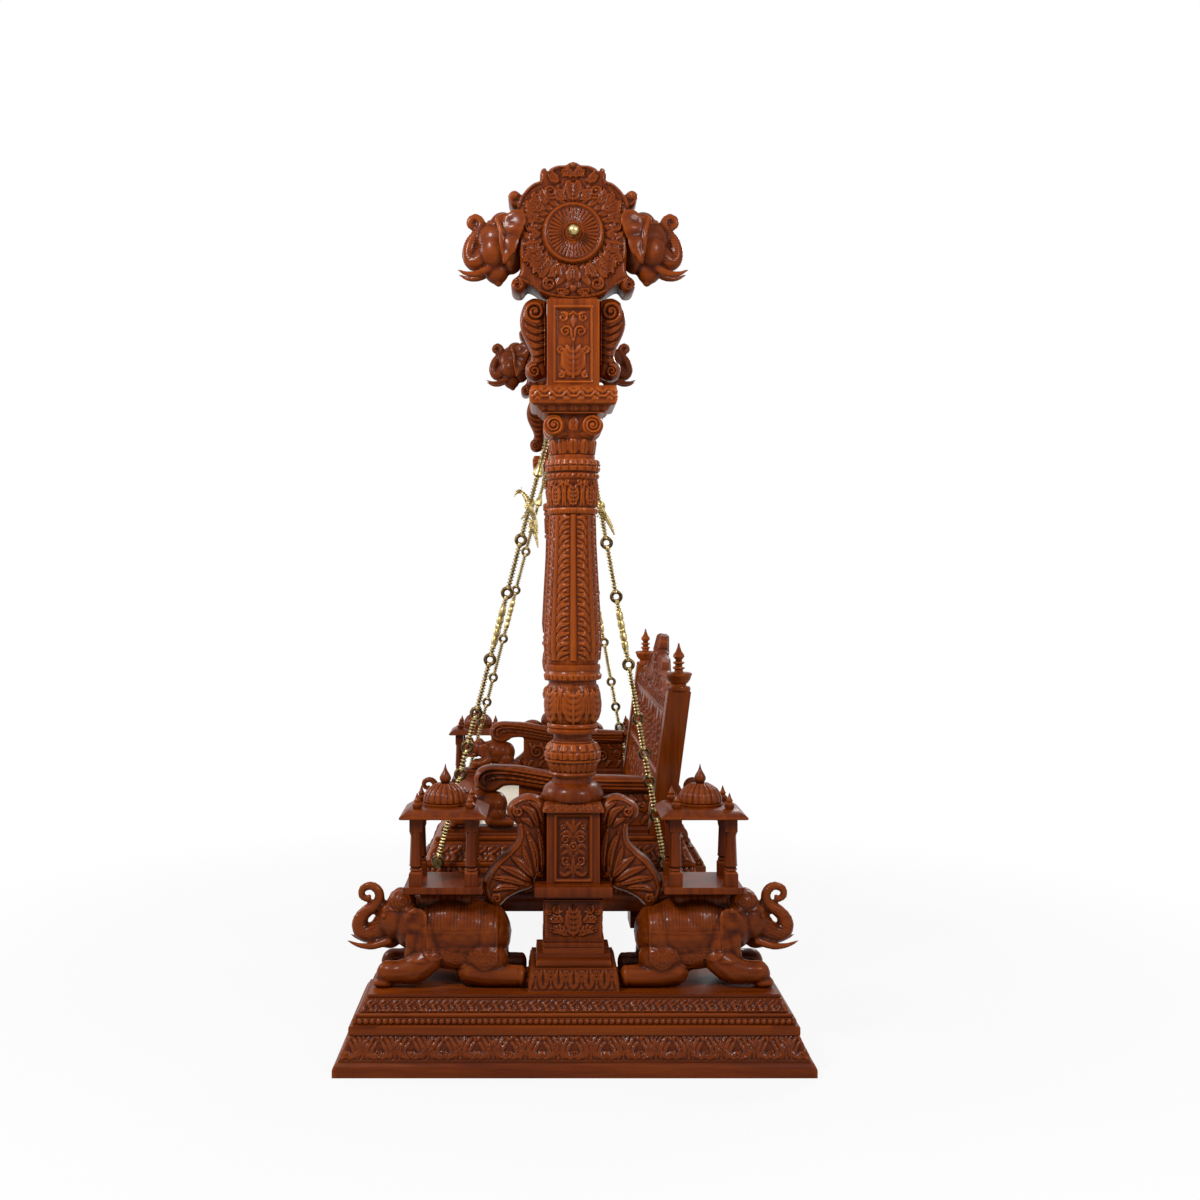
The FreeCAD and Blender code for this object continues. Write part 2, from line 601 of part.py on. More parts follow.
def make_beam():
    """The bar between the crests, with a lip along each edge and a bore in each end for the bolts."""
    half = "beam_width / 2"
    foot = "beam_foot"
    head = "(beam_foot + beam_height)"
    corners = [(half, foot), (half, f"{foot} + beam_lip_height"),
               (f"{half} - beam_lip", f"{foot} + beam_lip_height + beam_lip"),
               (f"{half} - beam_lip", f"{head} - beam_lip_height - beam_lip"),
               (half, f"{head} - beam_lip_height"), (half, head)]
    corners += [(f"-({x})", y) for x, y in corners[::-1]]
    bar = plate("beam_bar", corners, "2 * end_rim")
    bores = []
    for sign in (-1, 1):
        start = "-end_rim" if sign < 0 else "end_rim - bolt_reach - 2 * hair_gap"
        bores.append(rod("beam_bore", "bolt_radius + bolt_clearance", "bolt_reach + 2 * hair_gap", x=start,
                         z="crest_centre", turn=QUARTER_TURN, axis=ALONG))
    keep(cut("beam", bar, group("beam_bores", bores)), "beam")


def make_hooks():
    """Two iron hangers under the beam: a plate, two cheeks and the round bar that carries the ring."""
    pair = []
    for side in (-1, 1):
        centre = f"{side} * chain_offset"
        solids = [box("hook_plate", f"{centre} - hook_plate_length / 2", f"{centre} + hook_plate_length / 2",
                      "-hook_plate_width / 2", "hook_plate_width / 2", "beam_foot - hook_plate", "beam_foot")]
        for cheek in (-1, 1):
            inner = f"{centre} + {cheek} * hook_cheek_gap / 2"
            outer = f"{inner} + {cheek} * hook_cheek"
            low, high = (inner, outer) if cheek > 0 else (outer, inner)
            solids.append(box("hook_cheek", low, high, "-hook_cheek_depth / 2", "hook_cheek_depth / 2",
                              "hook_height - hook_cheek_depth / 2", "beam_foot - hook_plate"))
        solids.append(rod("hook_bar", "hook_bar_radius", "hook_cheek_gap + 2 * hook_cheek",
                          x=f"{centre} - hook_cheek_gap / 2 - hook_cheek", z="hook_height", turn=QUARTER_TURN,
                          axis=ALONG))
        pair.append(fuse("beam_hook", solids))
    keep(group("beam_hooks", pair), "beam_hooks")


# The carved elephants are egg-shaped masses. Each is placed across, forward of the column and above the
# plinth, and has a girth, a half length along its own axis, and the tilt of that axis above level.
ELEPHANT_MASSES = {
    "body": (0, 285, 137, 88, 117, 0), "rump": (0, 226, 126, 80, 84, 60),
    "shoulder": (0, 356, 128, 74, 80, 80), "head": (0, 456, 156, 50, 58, 70),
    "brow": (0, 446, 202, 34, 38, 90), "jaw": (0, 466, 112, 25, 28, 0),
}
# Limbs run through joints, each with its place across, forward and up, and its radius.
ELEPHANT_LIMBS = {
    "foreleg": ((58, 384, 60, 33), (58, 470, 42, 25), (58, 478, 22, 24)),
    "thigh": ((62, 222, 72, 44), (64, 262, 40, 38), (64, 150, 26, 27)),
    "trunk": ((0, 486, 150, 36), (0, 524, 117, 25), (0, 545, 128, 20), (0, 543, 168, 18), (0, 518, 200, 15),
              (0, 502, 226, 13), (0, 512, 254, 12), (0, 536, 256, 11.5)),
    "tusk": ((24, 498, 108, 9), (34, 582, 113, 3)),
}
# Ears are flat ovals: place, half thickness, half length and half height.
ELEPHANT_EARS = {"ear": (52, 404, 150, 12, 32, 62)}
CREST_HEAD_MASSES = {"head": (0, 198, -12, 46, 60, 80), "brow": (0, 186, 34, 33, 34, 0),
                     "jaw": (0, 206, -88, 26, 30, 60)}
CREST_HEAD_LIMBS = {
    "trunk": ((0, 214, -44, 34), (0, 252, -58, 26), (0, 270, -38, 19), (0, 266, -2, 17), (0, 247, 24, 14),
              (0, 240, 44, 12), (0, 260, 48, 11)),
    "tusk": ((18, 216, -84, 9), (32, 294, -88, 3)),
}
CREST_HEAD_EARS = {"ear": (44, 168, -10, 10, 28, 56)}
ARM_ELEPHANT_MASSES = {"body": (0, 226, 52, 38, 74, 0), "head": (0, 306, 72, 27, 32, 60)}
ARM_ELEPHANT_LIMBS = {
    "foreleg": ((13, 262, 20, 12), (13, 322, 9, 10)), "hind_leg": ((13, 190, 22, 14), (13, 172, 10, 11)),
    "trunk": ((0, 326, 66, 18), (0, 352, 50, 13), (0, 368, 70, 10), (0, 356, 96, 8)),
}
JOINT_WORDS = ("first", "second", "third", "fourth", "fifth", "sixth", "seventh", "eighth")
MASS_WORDS = ("across", "forward", "up", "girth", "half_length", "tilt")
EAR_WORDS = ("across", "forward", "up", "half_thickness", "half_length", "half_height")
PLACE_WORDS = ("across", "forward", "up", "radius")


def add_figure(prefix, masses, limbs, ears):
    for name, extents in masses.items():
        add_sizes(dict(zip(MASS_WORDS, extents)), f"{prefix}_{name}_")
    for name, extents in ears.items():
        add_sizes(dict(zip(EAR_WORDS, extents)), f"{prefix}_{name}_")
    for name, joints in limbs.items():
        for joint, extents in zip(JOINT_WORDS, joints):
            add_sizes(dict(zip(PLACE_WORDS, extents)), f"{prefix}_{name}_{joint}_")


add_figure("elephant", ELEPHANT_MASSES, ELEPHANT_LIMBS, ELEPHANT_EARS)
add_figure("crest_head", CREST_HEAD_MASSES, CREST_HEAD_LIMBS, CREST_HEAD_EARS)
add_figure("arm_elephant", ARM_ELEPHANT_MASSES, ARM_ELEPHANT_LIMBS, {})
add_sizes({"up": -16, "half_width": 42, "half_height": 70, "length": 50}, "crest_head_neck_")
doc.recompute()


def oval(across_radius, along_radius):
    """An ellipse about the origin whose second radius lies along Y."""
    if across_radius >= along_radius:
        return Part.Ellipse(Vector(across_radius, 0, 0), Vector(0, along_radius, 0), Vector())
    return Part.Ellipse(Vector(0, along_radius, 0), Vector(-across_radius, 0, 0), Vector())


def egg(prefix, name):
    """A turned egg of carved wood, its long axis level along Y until it is tilted."""
    across, forward, up, girth, half_length, tilt = [number(f"{prefix}_{name}_{word}") for word in MASS_WORDS]
    if girth == half_length:
        return Part.makeSphere(girth, Vector(across, -forward, up))
    disc = Part.Face(Part.Wire([oval(girth, half_length).toShape()]))
    beside = Part.makePlane(girth, 2 * half_length, Vector(0, -half_length, 0))
    solid = disc.common(beside).Faces[0].revolve(Vector(), ALONG, FULL_TURN)
    solid.Placement = Placement(Vector(across, -forward, up), Rotation(ACROSS, -tilt))
    return solid


def ear(prefix, name, side):
    """A flat oval ear beside the head."""
    across, forward, up, half_thick, half_length, half_height = [number(f"{prefix}_{name}_{word}")
                                                                 for word in EAR_WORDS]
    disc = Part.Face(Part.Wire([oval(half_height, half_length).toShape()]))
    solid = disc.extrude(UP * (2 * half_thick))
    root = Vector(side * across - half_thick, -forward, up)
    solid.Placement = Placement(root, Rotation(ALONG, QUARTER_TURN))
    return solid


def limb(prefix, name, joints, side=1):
    """A tapering limb that bends at round joints."""
    balls = []
    for joint in JOINT_WORDS[:len(joints)]:
        across, forward, up, radius = [number(f"{prefix}_{name}_{joint}_{word}") for word in PLACE_WORDS]
        balls.append((Vector(side * across, -forward, up), radius))
    solids = [Part.makeSphere(radius, place) for place, radius in balls]
    for (root, root_radius), (tip, tip_radius) in zip(balls, balls[1:]):
        along = tip - root
        if root_radius == tip_radius:
            solids.append(Part.makeCylinder(root_radius, along.Length, root, along))
        else:
            solids.append(Part.makeCone(root_radius, tip_radius, along.Length, root, along))
    return solids[0].multiFuse(solids[1:])


carved = {}


def figure(prefix, masses, limbs, ears):
    """One solid figure, facing -Y, from its masses, limbs and ears, with both sides alike."""
    if prefix not in carved:
        carved[prefix] = carve_figure(prefix, masses, limbs, ears)
    return carved[prefix].copy()


def carve_figure(prefix, masses, limbs, ears):
    solids = [egg(prefix, name) for name in masses]
    for name, joints in limbs.items():
        paired = number(f"{prefix}_{name}_first_across") > 0
        for side in ((-1, 1) if paired else (1,)):
            solids.append(limb(prefix, name, joints, side))
    for name in ears:
        for side in (-1, 1):
            solids.append(ear(prefix, name, side))
    whole = solids[0]
    for solid in solids[1:]:
        whole = whole.fuse(solid)
    return whole


def as_feature(name, shape):
    thing = doc.addObject("Part::Feature", name)
    thing.Shape = shape
    return thing


def make_elephants(end):
    """A kneeling elephant on each side of the pedestal, with a flat saddle for its howdah."""
    solid = figure("elephant", ELEPHANT_MASSES, ELEPHANT_LIMBS, ELEPHANT_EARS)
    half = number("saddle_width") / 2
    rise = number("saddle_rise")
    offset = number("howdah_offset")
    saddle_foot = number("elephant_body_up")
    saddle = Part.makeBox(2 * half, 2 * half, rise - saddle_foot, Vector(-half, -offset - half, saddle_foot))
    reach = number("plinth_length")
    below = Part.makeBox(2 * reach, 2 * reach, reach, Vector(-reach, -reach, -reach))
    solid = solid.fuse(saddle).cut(below)
    for side, turn in SIDES.items():
        offset_x, end_turn = ENDS[end]
        keep(as_feature("elephant", solid.copy()), f"elephant_{side}_{end}", x=offset_x,
             z="plinth_board_head", turn=(turn + end_turn) % FULL_TURN)


def make_howdahs(end):
    """The little pavilion on an elephant's back: floor and four posts, then roof, dome and finials."""
    for side, turn in SIDES.items():
        offset_x, end_turn = ENDS[end]
        total_turn = (turn + end_turn) % FULL_TURN
        floor_solids = [square_box("howdah_floor_board", "howdah_width", "saddle_top",
                                   "saddle_top + howdah_floor", y="-howdah_offset")]
        level_foot = "saddle_top + howdah_floor"
        roof_foot = f"{level_foot} + howdah_foot_height + howdah_shaft_height"
        for across in (-1, 1):
            for along in (-1, 1):
                x = f"{across} * howdah_post_offset"
                y = f"-howdah_offset + {along} * howdah_post_offset"
                floor_solids.append(square_box("howdah_post_foot", "howdah_foot_width", level_foot,
                                               f"{level_foot} + howdah_foot_height", x, y))
                floor_solids.append(cone("howdah_post", "howdah_shaft_radius", "howdah_neck_radius",
                                         "howdah_shaft_height", x, y, f"{level_foot} + howdah_foot_height"))
        keep(fuse("howdah", floor_solids), f"howdah_{side}_{end}", x=offset_x, turn=total_turn)
        eave_top = f"{roof_foot} + howdah_eave_height"
        hip_top = f"{eave_top} + howdah_hip_height"
        eave = square_box("howdah_eave", "howdah_eave_width", roof_foot, eave_top, y="-howdah_offset")
        hip = hipped("howdah_hip", "howdah_eave_width / 2", "howdah_hip_width / 2", "howdah_eave_width / 2",
                     "howdah_hip_width / 2", eave_top, hip_top)
        hip.setExpression("Placement.Base.y", bind("-howdah_offset"))
        dome = seat_at(turned("howdah_dome", "dome", DOME_LINES), y="-howdah_offset", z=hip_top)
        roof_solids = [eave, hip, dome]
        for across in (-1, 1):
            for along in (-1, 1):
                corner = turned("howdah_corner", "corner", CORNER_LINES)
                roof_solids.append(seat_at(corner, x=f"{across} * howdah_corner_offset",
                                           y=f"-howdah_offset + {along} * howdah_corner_offset", z=hip_top))
        keep(fuse("howdah_roof", roof_solids), f"howdah_roof_{side}_{end}", x=offset_x, turn=total_turn)


def make_crest_elephants(end):
    """Elephant heads that look out from both sides of the crest."""
    neck = Part.Face(Part.Wire([oval(number("crest_head_neck_half_width"),
                                     number("crest_head_neck_half_height")).toShape()]))
    neck = neck.extrude(UP * number("crest_head_neck_length"))
    root = Vector(0, -number("crest_cheek_reach") - number("hair_gap"), number("crest_head_neck_up"))
    neck.Placement = Placement(root, Rotation(ACROSS, QUARTER_TURN))
    solid = figure("crest_head", CREST_HEAD_MASSES, CREST_HEAD_LIMBS, CREST_HEAD_EARS).fuse(neck)
    heads = []
    for turn in SIDES.values():
        head = as_feature("crest_head", solid.copy())
        heads.append(seat_at(head, z="crest_centre", turn=turn))
    end_keep(group("crest_elephants", heads), "crest_elephants", end)


# The seat's base: four moulded rails, mitred at the corners, with a ledge that carries the deck.
def make_rails():
    profile = []
    for name in SEAT_TIERS:
        below = "0" if name == "foot" else f"seat_{previous}_head - seat_bottom"
        profile.append((f"seat_{name}_foot_inset", below))
        profile.append((f"seat_{name}_head_inset", f"seat_{name}_head - seat_bottom"))
        previous = name
    profile += [("rail_top_inset", "seat_top - seat_bottom"), ("rail_top_inset", "deck_rise"),
                ("ledge_inset", "deck_rise"), ("ledge_inset", "deck_rise - ledge_height"),
                ("rail_foot_inset", "deck_rise - ledge_height"), ("rail_foot_inset", "0")]
    middle = "(seat_back - seat_front) / 2"
    rails = {"front": ("2 * seat_half_length", "0", "-seat_front", 0),
             "back": ("2 * seat_half_length", "0", "seat_back", 180),
             "right": ("seat_front + seat_back", "seat_half_length", middle, 90),
             "left": ("seat_front + seat_back", "-seat_half_length", middle, -90)}
    for name, (length, x, y, turn) in rails.items():
        body = plate("seat_rail", profile, length)
        for sign in (-1, 1):
            ends = f"{sign} * ({length}) / 2"
            mitre = [(ends, "0"), (f"{sign} * (({length}) / 2 - seat_half_length)", "seat_half_length"),
                     (ends, "seat_half_length")]
            if sign < 0:
                mitre.reverse()
            drawing = sketch_on(body, "mitre", "XY_Plane", mitre)
            pocket = body.newObject("PartDesign::Pocket", "mitre_cut")
            pocket.Profile = drawing
            pocket.Type = "ThroughAll"
            pocket.Midplane = True
        seat_at(body, x=x, y=y, z="seat_bottom", turn=turn)
        if name in ("left", "right"):
            body = cut("bored_rail", body, group("pin_bores", pin_bores(x)))
        body.Label = f"seat_rail_{name}"
        finished.append(body)


def pin_bores(rail_x):
    """Bores that take the shanks of the seat pins, in one side rail."""
    bores = []
    for y in ("-front_pin_offset", "back_pin_offset"):
        bores.append(rod("pin_bore", "seat_pin_radius + bolt_clearance", "2 * (seat_pin_root + hair_gap)",
                         x=f"{rail_x} - seat_pin_root - hair_gap", y=y, z="pin_height", turn=QUARTER_TURN,
                         axis=ALONG))
    return bores


def make_deck():
    inner_x = "seat_half_length - rail_top_inset"
    boards = box("deck_boards", f"-({inner_x})", inner_x, "-(seat_front - rail_top_inset)",
                 "seat_back - rail_top_inset", "deck_foot", "deck_top")
    keep(fuse("seat_deck", [boards, deck_battens()]), "seat_deck")


def deck_battens():
    """Cross bearers under the boards, between the ledges."""
    bars = []
    for side in (-1, 0, 1):
        centre = f"{side} * batten_spacing"
        bars.append(box("deck_batten", f"{centre} - batten_width / 2", f"{centre} + batten_width / 2",
                        "-(seat_front - ledge_inset) + hair_gap", "seat_back - ledge_inset - hair_gap",
                        "deck_foot - batten_height", "deck_foot"))
    return group("deck_battens", bars)


def make_seat_feet():
    blocks = []
    for across in (-1, 1):
        for along, edge in ((-1, "-seat_front"), (1, "seat_back")):
            x_outer = f"{across} * (seat_half_length - foot_block_inset)"
            x_inner = f"{across} * (seat_half_length - foot_block_inset - foot_block_width)"
            y_outer = f"{edge} - {along} * foot_block_set"
            y_inner = f"{edge} - {along} * (foot_block_set + foot_block_width)"
            x_low, x_high = (x_inner, x_outer) if across > 0 else (x_outer, x_inner)
            y_low, y_high = (y_inner, y_outer) if along > 0 else (y_outer, y_inner)
            blocks.append(box("seat_foot", x_low, x_high, y_low, y_high, "seat_bottom - foot_block_height",
                              "seat_bottom"))
    keep(group("seat_feet", blocks), "seat_feet")


def rounded_slice(half_x, half_y, corner, height, centre_y):
    """One level of the cushion: a rectangle with round corners."""
    eighth = math.pi / 4
    arcs = []
    for sign_x, sign_y in ((1, -1), (1, 1), (-1, 1), (-1, -1)):
        centre = Vector(sign_x * (half_x - corner), sign_y * (half_y - corner), 0)
        start = math.atan2(sign_y, sign_x) - eighth
        points = [centre + Vector(math.cos(turn), math.sin(turn), 0) * corner
                  for turn in (start, start + eighth, start + 2 * eighth)]
        arcs.append(Part.Arc(*points).toShape())
    edges = []
    for arc, following in zip(arcs, arcs[1:] + arcs[:1]):
        edges.append(arc)
        edges.append(Part.makeLine(arc.Vertexes[-1].Point, following.Vertexes[0].Point))
    wire = Part.Wire(edges)
    wire.translate(Vector(0, centre_y, height))
    return wire


def make_cushion():
    """The mattress: a crowned top, sides that draw in between two welts, and round corners."""
    gap = number("cushion_gap")
    half_x = number("seat_half_length - rail_top_inset") - gap
    front = -number("seat_front - rail_top_inset") + gap
    back = number("seat_back - rail_top_inset") - gap
    half_y = (back - front) / 2
    centre_y = (back + front) / 2
    corner = number("cushion_corner")
    foot = number("deck_top")
    wires = []
    for name in CUSHION_SLICES:
        inset = number(f"cushion_{name}_inset")
        rise = number(f"cushion_{name}_rise")
        wires.append(rounded_slice(half_x - inset, half_y - inset, corner, foot + rise, centre_y))
    keep(as_feature("cushion", Part.makeLoft(wires, True, True)), "seat_cushion")


def make_arms(side, sign):
    """A moulded arm rest, the carved screen under it and the rail that the screen stands on."""
    corners = [(x, f"seat_top + {y}") for x, y in outline("arm", ARM_OUTLINE)]
    keep(plate("arm_rest", corners, "arm_thickness"), f"arm_rest_{side}", x=f"{sign} * arm_offset")
    screen = plate("arm_screen", [(x, f"seat_top + {y}") for x, y in outline("panel", PANEL_OUTLINE)],
                   "panel_thickness")
    rail = box("screen_rail", "-panel_rail_width / 2", "panel_rail_width / 2", "-panel_rail_front",
               "panel_rail_back", "seat_top", "seat_top + panel_rail_height")
    keep(fuse("arm_panel", [screen, rail]), f"arm_panel_{side}", x=f"{sign} * arm_offset")


def make_arm_elephants():
    solid = figure("arm_elephant", ARM_ELEPHANT_MASSES, ARM_ELEPHANT_LIMBS, {})
    reach = number("seat_half_length")
    solid = solid.cut(Part.makeBox(2 * reach, 2 * reach, reach, Vector(-reach, -reach, -reach)))
    pair = []
    for sign in (-1, 1):
        pair.append(seat_at(as_feature("arm_elephant", solid.copy()), x=f"{sign} * arm_offset",
                            z="seat_top + panel_rail_height"))
    keep(group("arm_elephants", pair), "arm_elephants")


def make_back():
    """Two leaning posts with turned finials, and the pierced panel that they hold."""
    lean = "tan(back_lean)"
    height = "back_post_height"
    finials = []
    for side, sign in (("left", -1), ("right", 1)):
        corners = [("back_post_foot", "seat_top"),
                   (f"back_post_foot + {height} * {lean}", f"seat_top + {height}"),
                   (f"back_post_foot + back_post_depth + {height} * {lean}", f"seat_top + {height}"),
                   ("back_post_foot + back_post_depth", "seat_top")]
        post = plate("back_post", corners, "back_post_width")
        keep(post, f"back_post_{side}", x=f"{sign} * arm_offset")
        finials.append(seat_at(turned("back_finial", "finial", FINIAL_LINES), x=f"{sign} * arm_offset",
                               y=f"back_post_foot + back_post_depth / 2 + {height} * {lean}",
                               z=f"seat_top + {height}"))
    keep(group("back_finials", finials), "back_finials")
    board = plate("back_board", both_sides("back", BACK_OUTLINE), "back_panel_thickness", "XZ_Plane")
    slots = []
    count = round(number("slot_count"))
    for place in range(count):
        centre = f"{place - (count - 1) / 2} * slot_spacing"
        slots.append(box("back_slot", f"{centre} - slot_width / 2", f"{centre} + slot_width / 2",
                         "-back_panel_thickness", "back_panel_thickness", "slot_foot",
                         "slot_foot + slot_height"))
    panel = cut("back_panel", board, group("back_slots", slots))
    seat_at(panel, y="back_post_foot + back_panel_setback + back_panel_thickness / 2", z="seat_top",
            turn=number("back_lean"), axis=-ACROSS)
    panel.setExpression("Placement.Rotation.Angle", bind("back_lean * 1 deg"))
    finished.append(panel)


def make_hanger_rings():
    pair = []
    for side in (-1, 1):
        pair.append(ring("hanger_ring", "hanger_radius", "hanger_wire", x=f"{side} * chain_offset",
                         z="hanger_height", turn=QUARTER_TURN, axis=ALONG))
    keep(group("hanger_rings", pair), "hanger_rings")


def make_seat_pins():
    """Brass pins in the side rails, on which the lowest rings of the chains hang."""
    pins = []
    for sign in (-1, 1):
        for y in ("-front_pin_offset", "back_pin_offset"):
            root = f"{sign} * (seat_half_length - seat_pin_root)"
            length = "chain_offset - seat_half_length + seat_pin_root + seat_pin_reach"
            low = root if sign > 0 else f"{root} - ({length})"
            shaft = rod("seat_pin", "seat_pin_radius", length, x=low, y=y, z="pin_height", turn=QUARTER_TURN,
                        axis=ALONG)
            head_x = f"{root} + ({length})" if sign > 0 else f"{root} - ({length}) - seat_pin_head_length"
            head = rod("seat_pin_cap", "seat_pin_head", "seat_pin_head_length", x=head_x, y=y, z="pin_height",
                       turn=QUARTER_TURN, axis=ALONG)
            pins.append(fuse("seat_pin_turned", [shaft, head]))
    keep(group("seat_pins", pins), "seat_pins")


def chain_link(top, foot, tag):
    """A ladder link: two wires side by side with a knuckle at each end."""
    solids = []
    for side in (-1, 1):
        solids.append(rod(f"link_wire_{tag}", "link_wire", f"({foot}) - ({top})", y=f"{side} * link_spread",
                          z=f"-({foot})"))
    for place in (top, foot):
        solids.append(ball(f"knuckle_{tag}", "knuckle_radius", z=f"-({place})"))
    return solids


def make_chain(side, sign, leg, reach, direction):
    """One straight chain leg. It is made hanging down from its top and then leant out to its pin."""
    run = f"({reach} - leg_spread)"
    span = f"sqrt({run} * {run} + chain_drop * chain_drop)"
    low_ring = f"{span} - low_link_lift"
    solids = [ring("top_link", "end_ring_radius", "ring_wire", z="-top_link_drop", turn=QUARTER_TURN,
                   axis=ACROSS)]
    room = "knuckle_radius / 2"
    previous = "top_link_drop + end_ring_radius"
    for name in CHAIN_RINGS:
        if "last" in name and not name.startswith(leg):
            continue
        place = f"chain_{name}_drop"
        wide = "bell_radius" if name == "bell" else "ring_radius"
        solids += chain_link(f"{previous} + {room}", f"{place} - {wide} - {room}", name)
        if name == "bell":
            solids.append(ball("chain_bell", "bell_radius", z=f"-{place}"))
        else:
            solids.append(ring("chain_ring", "ring_radius", "ring_wire", z=f"-{place}", turn=QUARTER_TURN,
                               axis=ALONG))
        previous = f"{place} + {wide}"
    solids += chain_link(f"{previous} + {room}", f"{low_ring} - end_ring_radius - {room}", "foot")
    solids.append(ring("low_ring", "end_ring_radius", "ring_wire", z=f"-({low_ring})", turn=QUARTER_TURN,
                       axis=ALONG))
    figure_middle = "(chain_second_drop + chain_third_drop) / 2"
    solids.append(cone("figure_head", "knuckle_radius", "figure_radius", "figure_length / 2",
                       z=f"-({figure_middle})"))
    solids[-1].setExpression("Placement.Base.z", bind(f"-({figure_middle}) - figure_length / 2"))
    solids.append(cone("figure_foot", "figure_radius", "knuckle_radius", "figure_length / 2",
                       z=f"-({figure_middle})"))
    solids.append(ball("bird_body", "bird_radius", y="-bird_radius / 2",
                       z="-chain_bird_drop + bird_length / 2"))
    solids.append(cone("bird_tail", "bird_radius / 2", "bird_radius / 4", "bird_tail", y="bird_radius / 2",
                       z="-chain_bird_drop - bird_tail / 2"))
    chain = fuse("chain", solids)
    chain.Label = f"chain_{leg}_{side}"
    chain.Placement = Placement(Vector(), Rotation(ACROSS * direction, 1))
    chain.setExpression("Placement.Rotation.Angle", bind(f"atan({run} / chain_drop)"))
    chain.setExpression("Placement.Base.y", bind(f"{direction} * leg_spread"))
    chain.setExpression("Placement.Base.x", bind(f"{sign} * chain_offset"))
    chain.setExpression("Placement.Base.z", bind("chain_height"))
    finished.append(chain)


for end_name in ENDS:
    make_plinth(end_name)
    make_plinth_top(end_name)
    make_footing(end_name)
    make_pedestal(end_name)
    make_column(end_name)
    make_capital(end_name)
    make_upper_post(end_name)
    make_upper_brackets(end_name)
    make_pedestal_brackets(end_name)
    make_crest(end_name)
    make_crest_elephants(end_name)
    make_end_boss(end_name)
    make_elephants(end_name)
    make_howdahs(end_name)
make_beam()
make_hooks()
make_rails()
make_deck()
make_seat_feet()
make_cushion()
for side_name, side_sign in (("left", -1), ("right", 1)):
    make_arms(side_name, side_sign)
    make_chain(side_name, side_sign, "front", "front_pin_offset", -1)
    make_chain(side_name, side_sign, "back", "back_pin_offset", 1)
make_arm_elephants()
make_back()
make_hanger_rings()
make_seat_pins()
doc.recompute()

os.makedirs("parts", exist_ok=True)
for thing in doc.Objects:
    if "Invalid" in thing.State or "Error" in thing.State:
        raise RuntimeError(f"{thing.Label} failed to rebuild")
for thing in finished:
    if thing.Shape.isNull() or not thing.Shape.isValid():
        raise RuntimeError(f"{thing.Label} has no sound shape")
for thing in finished:
    thing.Shape.exportStep(f"parts/{thing.Label}.step")
print(len(finished), "sub-parts written")
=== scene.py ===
# %% [markdown]
# A carved teak jhoola: a seat hung on brass chains between two carved end stands.
# The solids come from the frame, which fixes every place and size. This lesson dresses them with
# carving, turning and finishes. First the frame is loaded and its box is kept.
# %% Load the frame
import math

import bmesh
import bpy
import numpy as np
from mathutils import Matrix, Vector


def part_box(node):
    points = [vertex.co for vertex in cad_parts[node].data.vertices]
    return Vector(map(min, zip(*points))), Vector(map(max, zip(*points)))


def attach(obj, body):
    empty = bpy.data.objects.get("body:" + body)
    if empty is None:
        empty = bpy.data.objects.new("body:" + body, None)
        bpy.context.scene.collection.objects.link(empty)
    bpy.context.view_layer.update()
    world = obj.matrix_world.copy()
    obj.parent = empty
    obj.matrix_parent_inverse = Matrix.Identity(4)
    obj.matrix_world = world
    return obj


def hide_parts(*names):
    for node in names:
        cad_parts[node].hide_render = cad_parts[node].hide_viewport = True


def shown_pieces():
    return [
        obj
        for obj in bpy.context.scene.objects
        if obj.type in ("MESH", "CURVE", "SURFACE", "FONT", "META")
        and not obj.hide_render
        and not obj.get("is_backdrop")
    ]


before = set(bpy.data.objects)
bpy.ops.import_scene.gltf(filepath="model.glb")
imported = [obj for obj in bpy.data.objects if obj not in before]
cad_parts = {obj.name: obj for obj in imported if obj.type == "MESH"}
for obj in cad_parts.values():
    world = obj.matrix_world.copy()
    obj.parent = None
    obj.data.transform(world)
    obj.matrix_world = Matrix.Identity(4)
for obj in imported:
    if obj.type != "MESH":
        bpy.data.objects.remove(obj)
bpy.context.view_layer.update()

MM = 0.001
print("frame loaded:", len(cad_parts), "solids")

# %% [markdown]
# The camera comes first. The picture was taken level, straight at one end of the swing, from
# about the height of a standing person's chest, so the camera looks along -X.
# A small shift places the object in the picture without tilting the camera.
# %% Camera
lens = bpy.data.cameras.new("camera")
lens.lens = 42.9
lens.sensor_width = 36
lens.shift_x = 0.0508
lens.shift_y = -0.0142
camera = bpy.data.objects.new("camera", lens)
camera.location = (4.75, -0.088, 1.223)
camera.rotation_euler = (math.radians(90), 0, math.radians(90))
bpy.context.scene.collection.objects.link(camera)
bpy.context.scene.camera = camera
bpy.context.scene.view_settings.view_transform = "Standard"
print("camera at", tuple(camera.location))


# %% [markdown]
# Materials are node trees. A small helper adds a node, sets its inputs and joins its links, so
# that each finish below reads as a short list of what it is made of.
# %% Node helper
def srgb(code):
    """A screen colour such as 7a3410 as linear light."""
    parts = [int(code[i:i + 2], 16) / 255 for i in (0, 2, 4)]
    return [((c + 0.055) / 1.055) ** 2.4 if c > 0.04045 else c / 12.92 for c in parts] + [1]


def new_material(name):
    material = bpy.data.materials.new(name)
    material.use_nodes = True
    tree = material.node_tree
    return material, tree, tree.nodes["Principled BSDF"]


def node(tree, kind, inputs=None, **settings):
    made = tree.nodes.new("ShaderNode" + kind)
    for key, value in settings.items():
        setattr(made, key, value)
    for key, value in (inputs or {}).items():
        if isinstance(value, bpy.types.NodeSocket):
            tree.links.new(value, made.inputs[key])
        else:
            made.inputs[key].default_value = value
    return made


